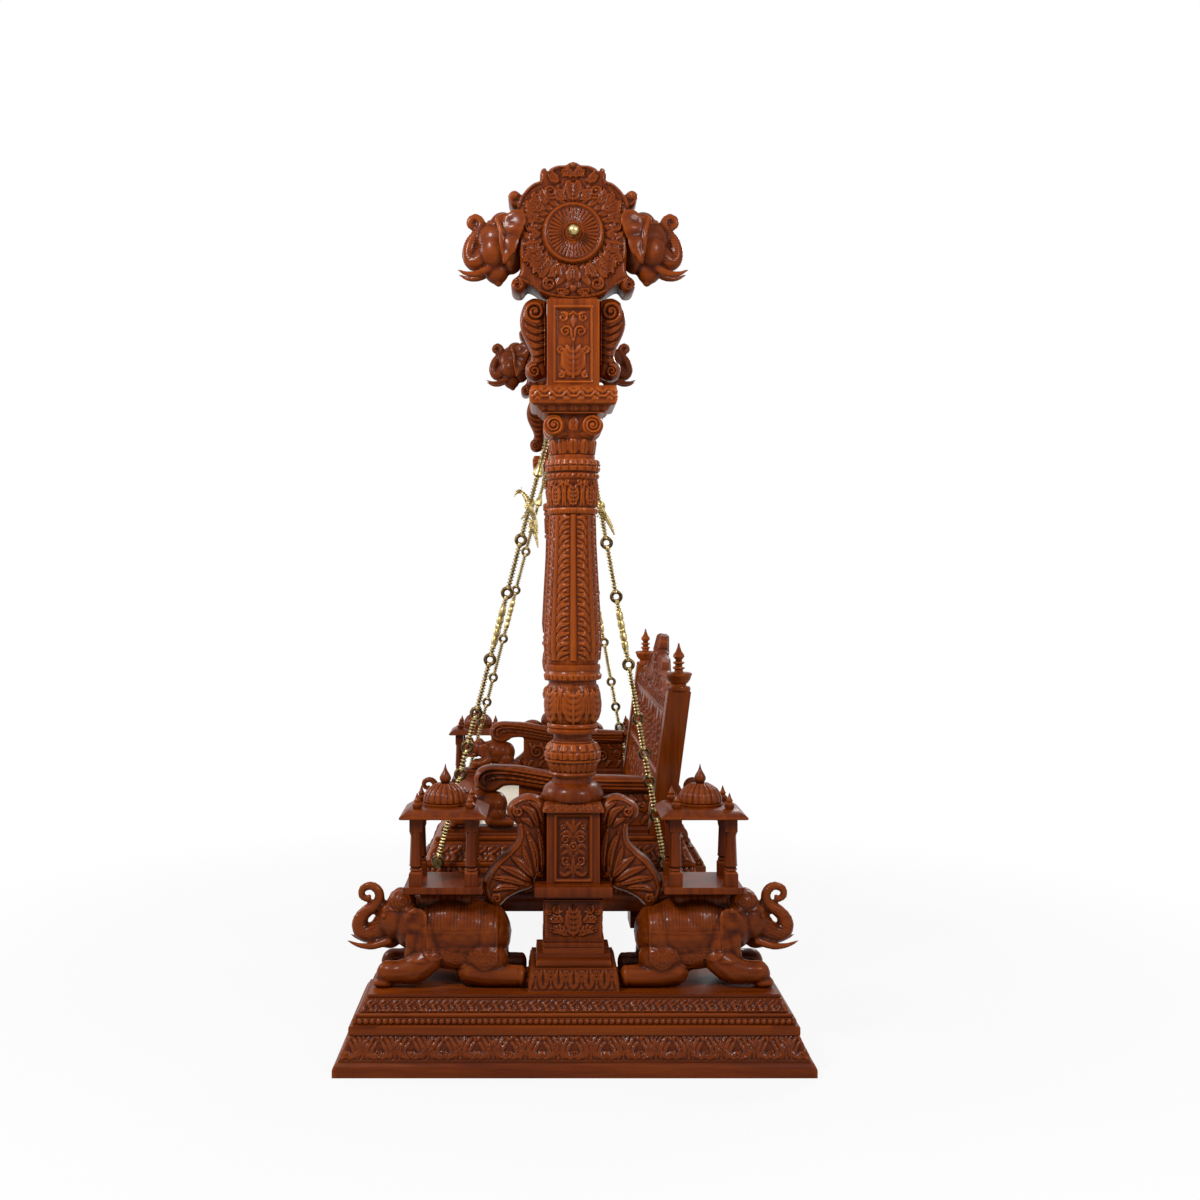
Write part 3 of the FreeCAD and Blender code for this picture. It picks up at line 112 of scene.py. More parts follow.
def ramp(tree, factor, stops):
    made = node(tree, "ValToRGB", {"Fac": factor})
    elements = made.color_ramp.elements
    while len(elements) < len(stops):
        elements.new(0.5)
    for element, (place, colour) in zip(elements, stops):
        element.position = place
        element.color = srgb(colour) if isinstance(colour, str) else (colour, colour, colour, 1)
    return made.outputs["Color"]


def mixed(tree, factor, first, second, blend="MIX"):
    made = node(tree, "Mix", data_type="RGBA", blend_type=blend)
    for socket, value in ((made.inputs[0], factor), (made.inputs[6], first), (made.inputs[7], second)):
        if isinstance(value, bpy.types.NodeSocket):
            tree.links.new(value, socket)
        else:
            socket.default_value = value
    return made.outputs[2]


def noise(tree, place, scale, detail, **inputs):
    made = node(tree, "TexNoise", {"Vector": place, "Scale": scale, "Detail": detail, **inputs})
    return made.outputs[0]


def maths(tree, operation, *values):
    return node(tree, "Math", dict(enumerate(values)), operation=operation).outputs[0]


def add_bump(tree, shader, height, strength, distance):
    bump = node(tree, "Bump", {"Strength": strength, "Distance": distance, "Height": height})
    tree.links.new(bump.outputs[0], shader.inputs["Normal"])


def hollow_and_proud(tree):
    """The carve attribute, which each mesh gets later, as two sockets."""
    carve = node(tree, "Attribute", attribute_name="carve")
    parts = node(tree, "SeparateColor", {"Color": carve.outputs["Color"]})
    return parts.outputs[0], parts.outputs[1]


# %% [markdown]
# Lacquered teak. Long stretched noise is the grain, wide soft noise shifts its tone, and the
# carve attribute paints shade into the hollows and brightens the proud edges, partly as wear that
# hands rub and partly as painted highlight. The grain runs along one axis, so there is one version
# for uprights, one for pieces that run front to back and one for those along the beam. Most carved
# pieces get a darker copy, which is painted shade, and the beam, seat base and back a milder darker copy,
# also painted shade.
# %% Teak
X_AXIS, Y_AXIS, Z_AXIS = 0, 1, 2
ROUGH_LOW, ROUGH_HIGH = 0.27, 0.48
# Darker copies multiplied over the teak's colour are painted shade: the deep one for most carved pieces,
# the beam one for the beam, seat base and back.
DEEP_PAINTED_SHADE = (0.62, 0.57, 0.54, 1)
BEAM_PAINTED_SHADE = (0.8, 0.75, 0.75, 1)


def drawn_out_noise(tree, place, along, scale, long_scale, detail, **inputs):
    """Noise stretched along one axis, as wood fibres are."""
    stretch = [scale, scale, scale]
    stretch[along] = long_scale
    drawn = node(tree, "Mapping", {"Vector": place, "Scale": stretch}).outputs[0]
    return noise(tree, drawn, 1.0, detail, **inputs)


def teak(name, along, painted_shade=(1, 1, 1, 1)):
    material, tree, shader = new_material(name)
    place = node(tree, "TexCoord").outputs["Object"]
    grain = drawn_out_noise(tree, place, along, 46, 2.6, 7.0, Roughness=0.62, Distortion=0.5)
    pores = drawn_out_noise(tree, place, along, 300, 14, 3.0)
    colour = ramp(tree, grain, [(0.28, "380f02"), (0.47, "6e2c06"), (0.72, "92460c")])
    tone = ramp(tree, noise(tree, place, 3.0, 3.0), [(0.3, "642405"), (0.7, "803809")])
    colour = mixed(tree, 0.42, colour, tone)
    streak = ramp(tree, pores, [(0.42, 0.72), (0.6, 1.0)])
    colour = mixed(tree, 0.6, colour, streak, "MULTIPLY")
    hollow, proud = hollow_and_proud(tree)
    # Hollows are darkened towards a near-black brown: painted shade where the carving is deep.
    colour = mixed(tree, maths(tree, "MULTIPLY", hollow, 0.84), colour, srgb("2a0a02"))
    # Proud edges are brightened: partly wear that hands rub, partly painted highlight.
    colour = mixed(tree, maths(tree, "MULTIPLY", proud, 0.5), colour, srgb("a24e14"))
    # The painted shade of the darker copies is multiplied in here.
    colour = mixed(tree, 1.0, colour, painted_shade, "MULTIPLY")
    tree.links.new(colour, shader.inputs["Base Color"])
    rough = node(tree, "MapRange", {"Value": grain, "To Min": ROUGH_LOW, "To Max": ROUGH_HIGH})
    rough = maths(tree, "MULTIPLY_ADD", hollow, 0.3, rough.outputs[0])
    tree.links.new(rough, shader.inputs["Roughness"])
    add_bump(tree, shader, pores, 0.35, 0.0006)
    shader.inputs["Specular IOR Level"].default_value = 0.06
    shader.inputs["Coat Weight"].default_value = 0.1
    shader.inputs["Coat Roughness"].default_value = 0.14
    return material


teak_upright = teak("teak_upright", Z_AXIS)
# The three copies after the first carry painted shade.
teak_upright_shaded = teak("teak_upright_shaded", Z_AXIS, DEEP_PAINTED_SHADE)
teak_across = teak("teak_across", Y_AXIS, DEEP_PAINTED_SHADE)
teak_beam = teak("teak_beam", X_AXIS, BEAM_PAINTED_SHADE)
print("teak finishes:", len(bpy.data.materials))


# %% [markdown]
# Cast brass on the chains and the bolt is old: yellow-olive on the rubbed tops and nearly black in
# the hollows and rings. The hooks are blackened iron and the cushion is a plain cream weave.
# %% Brass, iron and cloth
def metal(name, bright, dull, roughness):
    material, tree, shader = new_material(name)
    place = node(tree, "TexCoord").outputs["Object"]
    patina = noise(tree, place, 90.0, 5.0, Roughness=0.6)
    colour = ramp(tree, patina, [(0.38, dull), (0.62, bright)])
    colour = mixed(tree, hollow_and_proud(tree)[0], colour, srgb("1c140a"))
    tree.links.new(colour, shader.inputs["Base Color"])
    rough = node(tree, "MapRange", {"Value": patina, "To Min": roughness + 0.15, "To Max": roughness})
    tree.links.new(rough.outputs[0], shader.inputs["Roughness"])
    add_bump(tree, shader, noise(tree, place, 600.0, 2.0), 0.25, 0.0004)
    shader.inputs["Metallic"].default_value = 1.0
    return material


def woven(name, light, shade):
    material, tree, shader = new_material(name)
    place = node(tree, "TexCoord").outputs["Object"]
    threads = []
    for turn in (45, 135):
        turned = node(tree, "Mapping", {"Vector": place, "Rotation": (0, 0, math.radians(turn))})
        wave = node(tree, "TexWave", {"Vector": turned.outputs[0], "Scale": 260.0, "Distortion": 1.5,
                                      "Detail": 1.0}, wave_profile="SIN")
        threads.append(wave.outputs["Fac"])
    weave = maths(tree, "MULTIPLY", *threads)
    colour = mixed(tree, noise(tree, place, 9.0, 4.0), srgb(light), srgb(shade))
    colour = mixed(tree, 0.7, colour, ramp(tree, weave, [(0.0, 0.82), (0.7, 1.0)]), "MULTIPLY")
    tree.links.new(colour, shader.inputs["Base Color"])
    add_bump(tree, shader, weave, 0.4, 0.0008)
    shader.inputs["Roughness"].default_value = 0.85
    shader.inputs["Sheen Weight"].default_value = 0.25
    return material


brass = metal("worn_brass", "c9b47e", "7c683a", 0.25)
dark_brass = metal("dark_brass", "6a5230", "2a1e12", 0.34)
iron = metal("hammered_iron", "3a3836", "1c1a19", 0.48)
cream_cloth = woven("cream_cloth", "d8ccb6", "c2b49c")
cream_cord = woven("cream_cord", "b8a888", "a39272")
print("finishes:", len(bpy.data.materials))

# %% [markdown]
# Every piece ends the same way. Its mesh is cleaned, its hollows are measured, and it is told which
# body it rides on and which solids it stands for. Hollows come from comparing each vertex with a
# smoothed copy of the mesh: a vertex under the smooth surface is in a hollow, one above it is proud.
# %% Finish a piece
FULL_HOLLOW = 0.0011
LONGEST_CARVED_EDGE = 0.0048
SMOOTHING_ROUNDS = 10
STAND_X = 1.01
ARM_X = 640
PAVILION_Y = -333
ENDS = (("right", STAND_X, 0), ("left", -STAND_X, math.pi))


def mesh_arrays(mesh):
    """Where each vertex is and which way it faces."""
    arrays = []
    for kind in ("co", "normal"):
        flat = np.empty(len(mesh.vertices) * 3)
        mesh.vertices.foreach_get(kind, flat)
        arrays.append(flat.reshape(-1, 3))
    return arrays


def mark_hollows(mesh):
    """Writes the carve attribute: red where hollow, green where proud."""
    count = len(mesh.vertices)
    place, facing = mesh_arrays(mesh)
    ends = np.empty(len(mesh.edges) * 2, np.int64)
    mesh.edges.foreach_get("vertices", ends)
    ends = ends.reshape(-1, 2)
    length = np.linalg.norm(place[ends[:, 0]] - place[ends[:, 1]], axis=1)
    ends = ends[length < LONGEST_CARVED_EDGE]
    number = np.maximum(np.bincount(ends.ravel(), minlength=count), 1)
    smooth = place.copy()
    for _ in range(SMOOTHING_ROUNDS):
        for axis in range(3):
            total = (np.bincount(ends[:, 0], smooth[ends[:, 1], axis], count)
                     + np.bincount(ends[:, 1], smooth[ends[:, 0], axis], count))
            average = np.where(number > 1, total / number, smooth[:, axis])
            smooth[:, axis] = (smooth[:, axis] + average) / 2
    rise = ((place - smooth) * facing).sum(1) / FULL_HOLLOW
    # On the teak the red share becomes painted shade, and the green share becomes rubbed wear and painted
    # highlight.
    colour = np.zeros((count, 4), np.float32)
    colour[:, 0] = np.clip(-rise, 0, 1) ** 0.8
    colour[:, 1] = np.clip(rise, 0, 1)
    colour[:, 3] = 1
    layer = mesh.attributes.new("carve", "FLOAT_COLOR", "POINT")
    layer.data.foreach_set("color", colour.ravel())


def add_object(name, data):
    thing = bpy.data.objects.new(name, data)
    bpy.context.scene.collection.objects.link(thing)
    return thing


def to_piece(mesh, name, finish, body, stands_for=(), carved=True):
    if carved:
        mark_hollows(mesh)
    mesh.materials.clear()
    mesh.materials.append(finish)
    piece = add_object(name, mesh)
    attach(piece, body)
    if stands_for:
        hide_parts(*stands_for)
    return piece


def shade_smooth(mesh):
    mesh.polygons.foreach_set("use_smooth", [True] * len(mesh.polygons))


def bm_to_mesh(bm, name):
    mesh = bpy.data.meshes.new(name)
    bm.to_mesh(mesh)
    bm.free()
    return mesh


def to_mesh(bm, name, crease=40):
    """A welded mesh, smooth but for edges sharper than the crease angle."""
    bmesh.ops.remove_doubles(bm, verts=bm.verts, dist=1e-6)
    bmesh.ops.recalc_face_normals(bm, faces=bm.faces)
    mesh = bm_to_mesh(bm, name)
    shade_smooth(mesh)
    mesh.set_sharp_from_angle(angle=math.radians(crease))
    return mesh


def placed_copy(mesh, x, z, turn):
    copy = mesh.copy()
    copy.transform(Matrix.Translation((x, 0, z)) @ Matrix.Rotation(turn, 4, "Z"))
    return copy


def end_copies(mesh, name, finish, node_names=()):
    """One mesh, modelled about the Z axis, set up at both ends: the far one is turned half round."""
    for end, x, turn in ENDS:
        stands_for = [f"{each}_{end}" for each in node_names]
        to_piece(placed_copy(mesh, x, 0, turn), f"{name}_{end}", finish, "frame", stands_for)


def row_copies(meshes, finish, lift=0.0):
    """Meshes, modelled in front of a column, set before and behind the columns of both ends. Each
    comes with its own name and that of the node that it stands for."""
    for end, x, end_turn in ENDS:
        for row, turn in (("front", 0), ("rear", math.pi)):
            for mesh, name, node_name in meshes:
                copy = placed_copy(mesh, x, lift, turn + end_turn)
                to_piece(copy, f"{name}_{row}_{end}", finish, "frame", [f"{node_name}_{row}_{end}"])


# %% [markdown]
# Carving is drawn as strokes on flat paper, in millimetres: each stroke is a path, a width that
# tapers, and a height. The height of the wood at any point is that of the tallest stroke there,
# which is how a carver leaves ribs of wood and cuts the ground away between them.
# %% Strokes
def smooth_path(points, steps=5):
    """Rounds a few points into a flowing line that still passes through them."""
    points = np.array(points, float)
    if len(points) < 3:
        return points
    padded = np.vstack([2 * points[0] - points[1], points, 2 * points[-1] - points[-2]])
    t = np.linspace(0, 1, steps, endpoint=False)[:, None]
    runs = []
    for a, b, c, d in zip(padded, padded[1:], padded[2:], padded[3:]):
        runs.append(0.5 * (2 * b + (c - a) * t + (2 * a - 5 * b + 4 * c - d) * t ** 2
                           + (3 * b - a - 3 * c + d) * t ** 3))
    return np.vstack(runs + [points[-1:]])


def spiral(centre, outer, inner, turns, start, hand=1, steps=9):
    """Points of a volute that winds inward from the angle start, in degrees, with so many steps a turn."""
    count = max(6, int(steps * abs(turns)))
    places = []
    for k in range(count + 1):
        share = k / count
        angle = math.radians(start + hand * 360 * turns * share)
        radius = outer + (inner - outer) * share
        places.append((centre[0] + radius * math.cos(angle), centre[1] + radius * math.sin(angle)))
    return places


def carve_height(x, y, strokes):
    """Height of the wood, in millimetres, at each point of two arrays."""
    height = np.zeros_like(x)
    for stroke in strokes:
        path, wide, narrow, top = stroke[:4]
        leaf_like = len(stroke) > 4
        path = smooth_path(path)
        run = np.concatenate([[0], np.cumsum(np.linalg.norm(np.diff(path, axis=0), axis=1))])
        run /= max(run[-1], 1e-9)
        most = max(wide, narrow)
        near = ((x > path[:, 0].min() - most) & (x < path[:, 0].max() + most)
                & (y > path[:, 1].min() - most) & (y < path[:, 1].max() + most))
        if not near.any():
            continue
        px, py = x[near], y[near]
        best = np.zeros_like(px)
        for k in range(len(path) - 1):
            ax, ay = path[k]
            bx, by = path[k + 1]
            along = max((bx - ax) ** 2 + (by - ay) ** 2, 1e-9)
            t = np.clip(((px - ax) * (bx - ax) + (py - ay) * (by - ay)) / along, 0, 1)
            distance = np.hypot(px - ax - t * (bx - ax), py - ay - t * (by - ay))
            share = run[k] + t * (run[k + 1] - run[k])
            if leaf_like:
                width = narrow + (wide - narrow) * np.sin(np.pi * np.clip(share, 0.02, 0.98)) ** 0.7
            else:
                width = wide + (narrow - wide) * share
            best = np.maximum(best, np.sqrt(np.clip(1 - (distance / width) ** 2, 0, 1)))
        if top < 0:
            height[near] += best * top
        else:
            height[near] = np.maximum(height[near], best * top)
    return height


def leaf(root, bend, tip, width, top=3.0):
    """A leaf: a swelling stroke with a groove down its middle."""
    return [([root, bend, tip], width, width * 0.15, top, True), ([root, bend, tip], 1.6, 0.8, -top * 0.45)]


def acanthus(root, bend, tip, width, top=4.0):
    """A lobed leaf: a midrib and pairs of pointed lobes that sweep toward the tip."""
    spine = smooth_path([root, bend, tip], 6)
    strokes = [([root, bend, tip], width * 0.16, width * 0.08, top)]
    for k, size in ((1, 0.7), (3, 1.0), (5, 1.0), (7, 0.85), (9, 0.6)):
        forward = (spine[k + 1] - spine[k]) / max(np.linalg.norm(spine[k + 1] - spine[k]), 1e-9)
        for side in (-1, 1):
            aside = np.array([-forward[1], forward[0]]) * side
            middle = spine[k] + (aside * 0.62 + forward * 0.3) * width * size
            end = spine[k] + (aside * 0.95 + forward * 1.0) * width * size
            strokes.append(([spine[k], middle, end], width * 0.4 * size, width * 0.1, top * 0.86, True))
    return strokes


def moved(strokes, x=0, y=0, flip=1):
    """The same strokes shifted, and with flip -1 turned over left to right."""
    return [([(flip * a + x, b + y) for a, b in path], *rest) for path, *rest in strokes]


def mirrored(strokes):
    return strokes + moved(strokes, flip=-1)


def circle(radius, count):
    angles = np.linspace(0, 2 * math.pi, count, endpoint=False)
    return [(radius * math.cos(a), radius * math.sin(a)) for a in angles]


def repeated(pitch, strokes):
    """A band of one motif over and over."""
    def height(u, v):
        return carve_height((u + pitch / 2) % pitch - pitch / 2, v, strokes)
    return height


def beads(pitch, radius, middle, top):
    def height(u, v):
        across = (u + pitch / 2) % pitch - pitch / 2
        return top * np.sqrt(np.clip(1 - (across ** 2 + (v - middle) ** 2) / radius ** 2, 0, 1))
    return height


middle_of_leaf = carve_height(np.array([0.0]), np.array([5.0]), leaf((0, 0), (0, 5), (0, 10), 3))
print("a test leaf stands", middle_of_leaf[0], "mm")


# %% [markdown]
# Nearly all the joinery is a moulding that runs round a square or a circle. Both are made from a
# grid: its columns go round and its rows go up the moulding's profile. A row may carry a carved
# band, whose height pushes the surface out square to the profile. The seam is then welded and the
# open ends are filled, so each piece is closed like real wood.
# %% Mouldings
def profile_rows(profile, cell):
    """Rows up a profile of (reach, height) or (reach, height, band) points. A band named at several
    points in a row runs on over all of their stretches."""
    rows, climbed = [(profile[0][0], profile[0][1], Vector((1, 0)), None, 0)], 0
    for k, (start, end) in enumerate(zip(profile, profile[1:])):
        run = Vector((end[0] - start[0], end[1] - start[1]))
        out = Vector((run.y, -run.x)).normalized() if run.length else Vector((1, 0))
        band = start[2] if len(start) > 2 else None
        goes_on = len(end) > 2 and end[2] is band
        count = max(1, round(run.length / cell)) if band else 1
        for step in range(1, count + 1):
            share = step / count
            rows.append((start[0] + run.x * share, start[1] + run.y * share, out,
                         band if step < count or goes_on else None, climbed + run.length * share))
        climbed = climbed + run.length if goes_on else 0
    return rows


def close_open_edges(bm):
    bmesh.ops.remove_doubles(bm, verts=bm.verts, dist=2e-6)
    rim = [edge for edge in bm.edges if edge.is_boundary]
    if rim:
        bmesh.ops.holes_fill(bm, edges=rim, sides=0)


def grid_rows(bm, columns, rows):
    """A flat grid, with the column share from 0 to 1 and the row number of each vertex."""
    grid = bmesh.ops.create_grid(bm, x_segments=columns, y_segments=len(rows) - 1, size=1)["verts"]
    share = np.array([(v.co.x + 1) / 2 for v in grid])
    row = np.array([round((v.co.y + 1) / 2 * (len(rows) - 1)) for v in grid])
    reach, up = (np.array([rows[r][k] for r in row], float) for k in (0, 1))
    return grid, share, row, reach, up


def push_bands(rows, row, reach, up, across):
    """Adds each carved band to its own rows, square to the profile."""
    for band in {id(r[3]): r[3] for r in rows if r[3]}.values():
        mine = np.array([rows[r][3] is band for r in row])
        rise = np.array([rows[r][4] for r in row])[mine]
        out = np.array([tuple(rows[r][2]) for r in row])[mine]
        added = across(band, mine, rise)
        reach[mine] += added * out[:, 0]
        up[mine] += added * out[:, 1]


TURNED_CELL = 3.0


def round_moulding(bm, profile, segments, centre=(0, 0)):
    """A turned piece about an upright axis. Profile points are (radius, height) in millimetres."""
    rows = profile_rows(profile, TURNED_CELL)
    grid, share, row, reach, up = grid_rows(bm, segments, rows)
    turn = np.round(share * segments) % segments / segments
    push_bands(rows, row, reach, up, lambda band, mine, rise: band(turn[mine], rise))
    for vert, part, out, z in zip(grid, turn * 2 * math.pi, reach, up):
        vert.co = Vector((centre[0] + out * math.cos(part), centre[1] + out * math.sin(part), z)) * MM
    close_open_edges(bm)


def around(count, radius, pattern):
    """Fits a flat motif round a turned piece, count times."""
    pitch = 2 * math.pi * radius / count

    def height(turn, v):
        return pattern(((turn * count + 0.5) % 1.0 - 0.5) * pitch, v)
    return height


CORNER_FADE = 6


def square_moulding(bm, half_x, half_y, profile, cell=3.0, centre=(0, 0), carved_sides=(0, 1, 2, 3)):
    """A moulding round a rectangle. Profile points are (inset from the edge, height) in millimetres.
    Carving dies out over the last few millimetres before each corner."""
    rows = profile_rows([(-p[0],) + tuple(p[1:]) for p in profile], cell)
    has_bands = any(r[3] for r in rows)
    for side in range(4):
        long_half, wide_half = (half_x, half_y) if side % 2 else (half_y, half_x)
        carved = has_bands and side in carved_sides
        columns = max(2, round(2 * long_half / cell)) if carved else 2
        grid, share, row, reach, up = grid_rows(bm, columns, rows)
        along = (2 * share - 1) * (long_half + reach)
        plain_reach = reach.copy()
        if carved:
            push_bands(rows, row, reach, up, lambda band, mine, rise: band(along[mine], rise) * np.clip(
                (long_half + plain_reach[mine] - np.abs(along[mine])) / CORNER_FADE, 0, 1))
        out = wide_half + reach
        cos, sin = round(math.cos(side * math.pi / 2)), round(math.sin(side * math.pi / 2))
        for vert, a, o, z in zip(grid, along, out, up):
            vert.co = Vector((centre[0] + o * cos - a * sin, centre[1] + o * sin + a * cos, z)) * MM
    close_open_edges(bm)


# %% [markdown]
# The plinth is a stack of stepped mouldings. Its sloping side carries a lotus frieze: pairs of
# leaves lean together round a boss, with a rib between one pair and the next. The upper stage
# has a row of beads and a row of curling leaves. Modelling the carving, rather than painting it,
# lets the light find it from every side.
# %% Plinth
lotus = mirrored(leaf((5, 2), (31, 20), (13, 56), 6.5, 4.0) + leaf((5, 5), (19, 20), (5, 45), 5, 3.4)
    + leaf((27, 2), (39, 28), (27, 57), 5, 3.6) + leaf((2, 46), (5, 52), (12, 58), 3.5, 3.0)
    + [([(40.5, 2), (40.5, 30), (40.5, 57)], 2.4, 1.6, 3.0)])
lotus += [(spiral((0, 14), 6.5, 6.5, 1, 0), 2.2, 2.2, 3.4), ([(0, 14), (0, 14.5)], 3.4, 3.4, 4.4)]
curled_leaf = [([(-13, 1), (-3, 5), (-9, 15), (2, 22), (9, 30)], 4.6, 1.6, 3.4),
               ([(1, 1), (9, 7), (5, 17)], 3.4, 1.4, 2.8), ([(-14, 20), (-9, 26), (-3, 30)], 3.0, 1.4, 2.4)]
bm = bmesh.new()
square_moulding(bm, 210, 600, [(0, 0), (0, 19), (1, 22), (3, 27), (7, 33), (13, 36), (13, 39),
    (15, 40, repeated(81, lotus)), (40, 93), (37, 94), (36, 97), (36, 113), (38, 117)], cell=3.3)
plinth = to_mesh(bm, "plinth")
bm = bmesh.new()
square_moulding(bm, 210, 600, [(46, 117), (46, 118, beads(15.8, 6.6, 7.5, 4.2)), (47, 133), (47, 134),
    (53, 134), (52, 137), (52, 141), (55, 144), (62, 144, repeated(31.6, curled_leaf)), (76, 173),
    (76, 175), (79, 176), (78, 179), (79, 185)], cell=3.3)
plinth_top = to_mesh(bm, "plinth_top")
end_copies(plinth, "plinth_base", teak_across, ["plinth"])
end_copies(plinth_top, "plinth_stage", teak_across, ["plinth_top"])
print("plinth faces:", len(plinth.polygons), "stage faces:", len(plinth_top.polygons))

# %% [markdown]
# The pedestal rises from a carved foot: a leafed drum, a shelf, a block with a sunk panel of
# scrolls on its outer and inner face, a leafed cornice and a round cushion moulding.
# A panel is a band whose ground lies below the frame round it.
# %% Pedestal
PANEL_DEPTH = 4.5
PANEL_SOFTNESS = 3.0


def sunk_panel(half_width, low, high, strokes):
    """Carving on a ground cut below a plain frame, with a thin bead round it."""
    def height(u, v):
        inside = np.minimum(half_width - np.abs(u), np.minimum(v - low, high - v))
        ground = -PANEL_DEPTH * np.clip(inside / PANEL_SOFTNESS, 0, 1)
        rim = 2.2 * np.sqrt(np.clip(1 - ((inside + 3.4) / 2.6) ** 2, 0, 1))
        return ground + np.where(inside > 0, carve_height(u, v, strokes), 0) + rim
    return height


upright_leaf = mirrored(leaf((0, 1), (9, 24), (3, 50), 6, 3.6) + leaf((14, 1), (22, 16), (13, 36), 4.5, 3.0)
                        + [(spiral((15, 43), 7, 1.5, 1.1, 200), 2.2, 1.6, 3.0)])
drum_leaf = (acanthus((0, 4), (0, 44), (0, 84), 20, 5)
    + mirrored(acanthus((16, 6), (36, 22), (62, 16), 11, 4.6)
    + acanthus((24, 40), (44, 48), (64, 40), 10, 4.6)
    + [(spiral((42, 74), 12, 2, 1.4, 210), 3.6, 2, 4.6),
    (spiral((62, 66), 7, 2, 1.2, 30, -1), 3, 2, 4)]))
flower_panel = (mirrored(leaf((0, 20), (9, 34), (22, 30), 5) + leaf((2, 24), (22, 12), (34, 20), 5)
    + [(spiral((19, 50), 12, 2, 1.4, 230), 3.2, 2.2, 3.8)] + leaf((4, 62), (14, 74), (30, 66), 5)
    + leaf((2, 70), (20, 90), (34, 82), 5) + [(spiral((19, 104), 11, 2, 1.3, 150, -1), 3, 2, 3.6)]
    + leaf((2, 110), (16, 124), (32, 116), 5) + leaf((0, 120), (9, 138), (20, 150), 5)
    + [(spiral((25, 136), 7, 2, 1.1, 300), 2.6, 1.8, 3.2)]) + leaf((0, 6), (0, 40), (0, 62), 4)
    + leaf((0, 126), (0, 140), (0, 156), 5) + [(spiral((0, 86), 9, 9, 1, 0), 2.4, 2.4, 3.8),
    ([(0, 86), (0, 86.5)], 4.5, 4.5, 4.4)])
cornice_leaf = mirrored(leaf((0, 1), (5, 12), (0, 25), 5, 2.8)) + [([(10, 2), (10, 20)], 2, 1.4, 2.2)]

bm = bmesh.new()
square_moulding(bm, 116, 116, [(0, 185), (0, 188), (1, 189, repeated(38.7, upright_leaf)), (8, 242),
    (8, 243), (21, 243), (20, 247), (20, 255), (22, 260)])
square_moulding(bm, 78, 95, [(0, 260), (0, 270), (2, 272)])
square_moulding(bm, 78, 78, [(0, 272), (0, 286), (3, 290)])
end_copies(to_mesh(bm, "pedestal_foot"), "carved_foot", teak_across, ["pedestal_foot"])

bm = bmesh.new()
square_moulding(bm, 78.5, 78.5, [(0, 290), (0, 297), (4, 301), (1, 305), (0, 313)])
square_moulding(bm, 75.5, 75.5, [(3, 313, repeated(146, drum_leaf)), (3, 406), (0, 408), (0, 410),
    (6, 411), (5, 420)])
square_moulding(bm, 99.5, 99.5, [(3, 420), (0, 424), (0, 443), (3, 447)])
flower_front = sunk_panel(42.5, 12, 174, moved(flower_panel, y=10))
square_moulding(bm, 68, 68, [(0, 447), (0, 449, flower_front), (0, 634), (0, 635)], cell=2.6,
    carved_sides=(0, 2))
square_moulding(bm, 79, 79, [(0, 635), (0, 637, repeated(19.6, cornice_leaf)), (10, 656), (10, 658)])
round_moulding(bm, [(76, 658), (80, 662), (81, 672), (78, 683), (73, 693), (64, 700), (55, 704),
    (53, 714)], 64)
end_copies(to_mesh(bm, "pedestal"), "carved_pedestal", teak_upright_shaded, ["pedestal"])
print("pedestal made at both ends")

# %% [markdown]
# The column was turned first and carved after. One long grid is wrapped into a tube whose radius
# follows the turner's profile. Rings of petals, gadroons and the leafed vase are motifs repeated
# round it, and the tall shaft has eight plain ribs with curled leaves slanting between them.
# %% Column
def petals(pitch, height, swell, top):
    return leaf((0, 0), (0, height * 0.5), (0, height), pitch * swell, top) + mirrored(
        [([(pitch * 0.5, height * 0.3), (pitch * 0.5, height * 0.95)], 2.2, 1.2, top * 0.6)])


def strokes_at(strokes):
    return lambda u, v: carve_height(u, v, strokes)


LEAF_RISE = 25
RIB_SPACING = 55
SHAFT_RADIUS, VASE_RADIUS = 70, 66
shaft_leaves = []
for step in range(-1, 3):
    low = step * LEAF_RISE
    shaft_leaves += mirrored(leaf((45, low - 2), (36, low + 17), (12, low + 23), 6.5, 4.2)
                             + leaf((44, low - 9), (32, low + 3), (15, low + 12), 3.6, 3.2))


def ribbed_shaft(u, v):
    off_rib = np.minimum(np.abs(u), RIB_SPACING - np.abs(u))
    rib = 4.6 * np.sqrt(np.clip(1 - (off_rib / 8.5) ** 2, 0, 1))
    return np.maximum(rib, carve_height(u, v % LEAF_RISE, shaft_leaves))


def gadroons(pitch, top=3.6):
    return lambda u, v: top * np.sqrt(np.clip(1 - (u / (pitch * 0.5)) ** 2, 0, 1))


def petal_ring(count, radius, pitch, height, top):
    return around(count, radius, strokes_at(petals(pitch, height, 0.5, top)))


vase_leaf = around(6, VASE_RADIUS, strokes_at(
    acanthus((0, 2), (0, 52), (0, 98), 27, 4.4) + mirrored(leaf((34.5, 0), (33, 52), (31, 102), 6, 4))))
ribs = around(4, SHAFT_RADIUS, ribbed_shaft)
drops = around(16, 68, strokes_at([([(0, 22), (0, 10), (0, 0)], 10, 5, 4, True)]))
bell_leaves = around(8, 62, strokes_at(acanthus((0, 0), (0, 30), (0, 62), 14, 5) + mirrored(
    leaf((20, 2), (24, 30), (20, 58), 5, 4.2) + [(spiral((15, 62), 7, 2, 1.2, 250), 3.2, 2.2, 4.4)])))
rope = around(30, 68, strokes_at([([(-3, 0), (3, 12)], 3.2, 3.2, 2.4)]))


def gadroon_ring():
    return around(20, 69, gadroons(21.7))


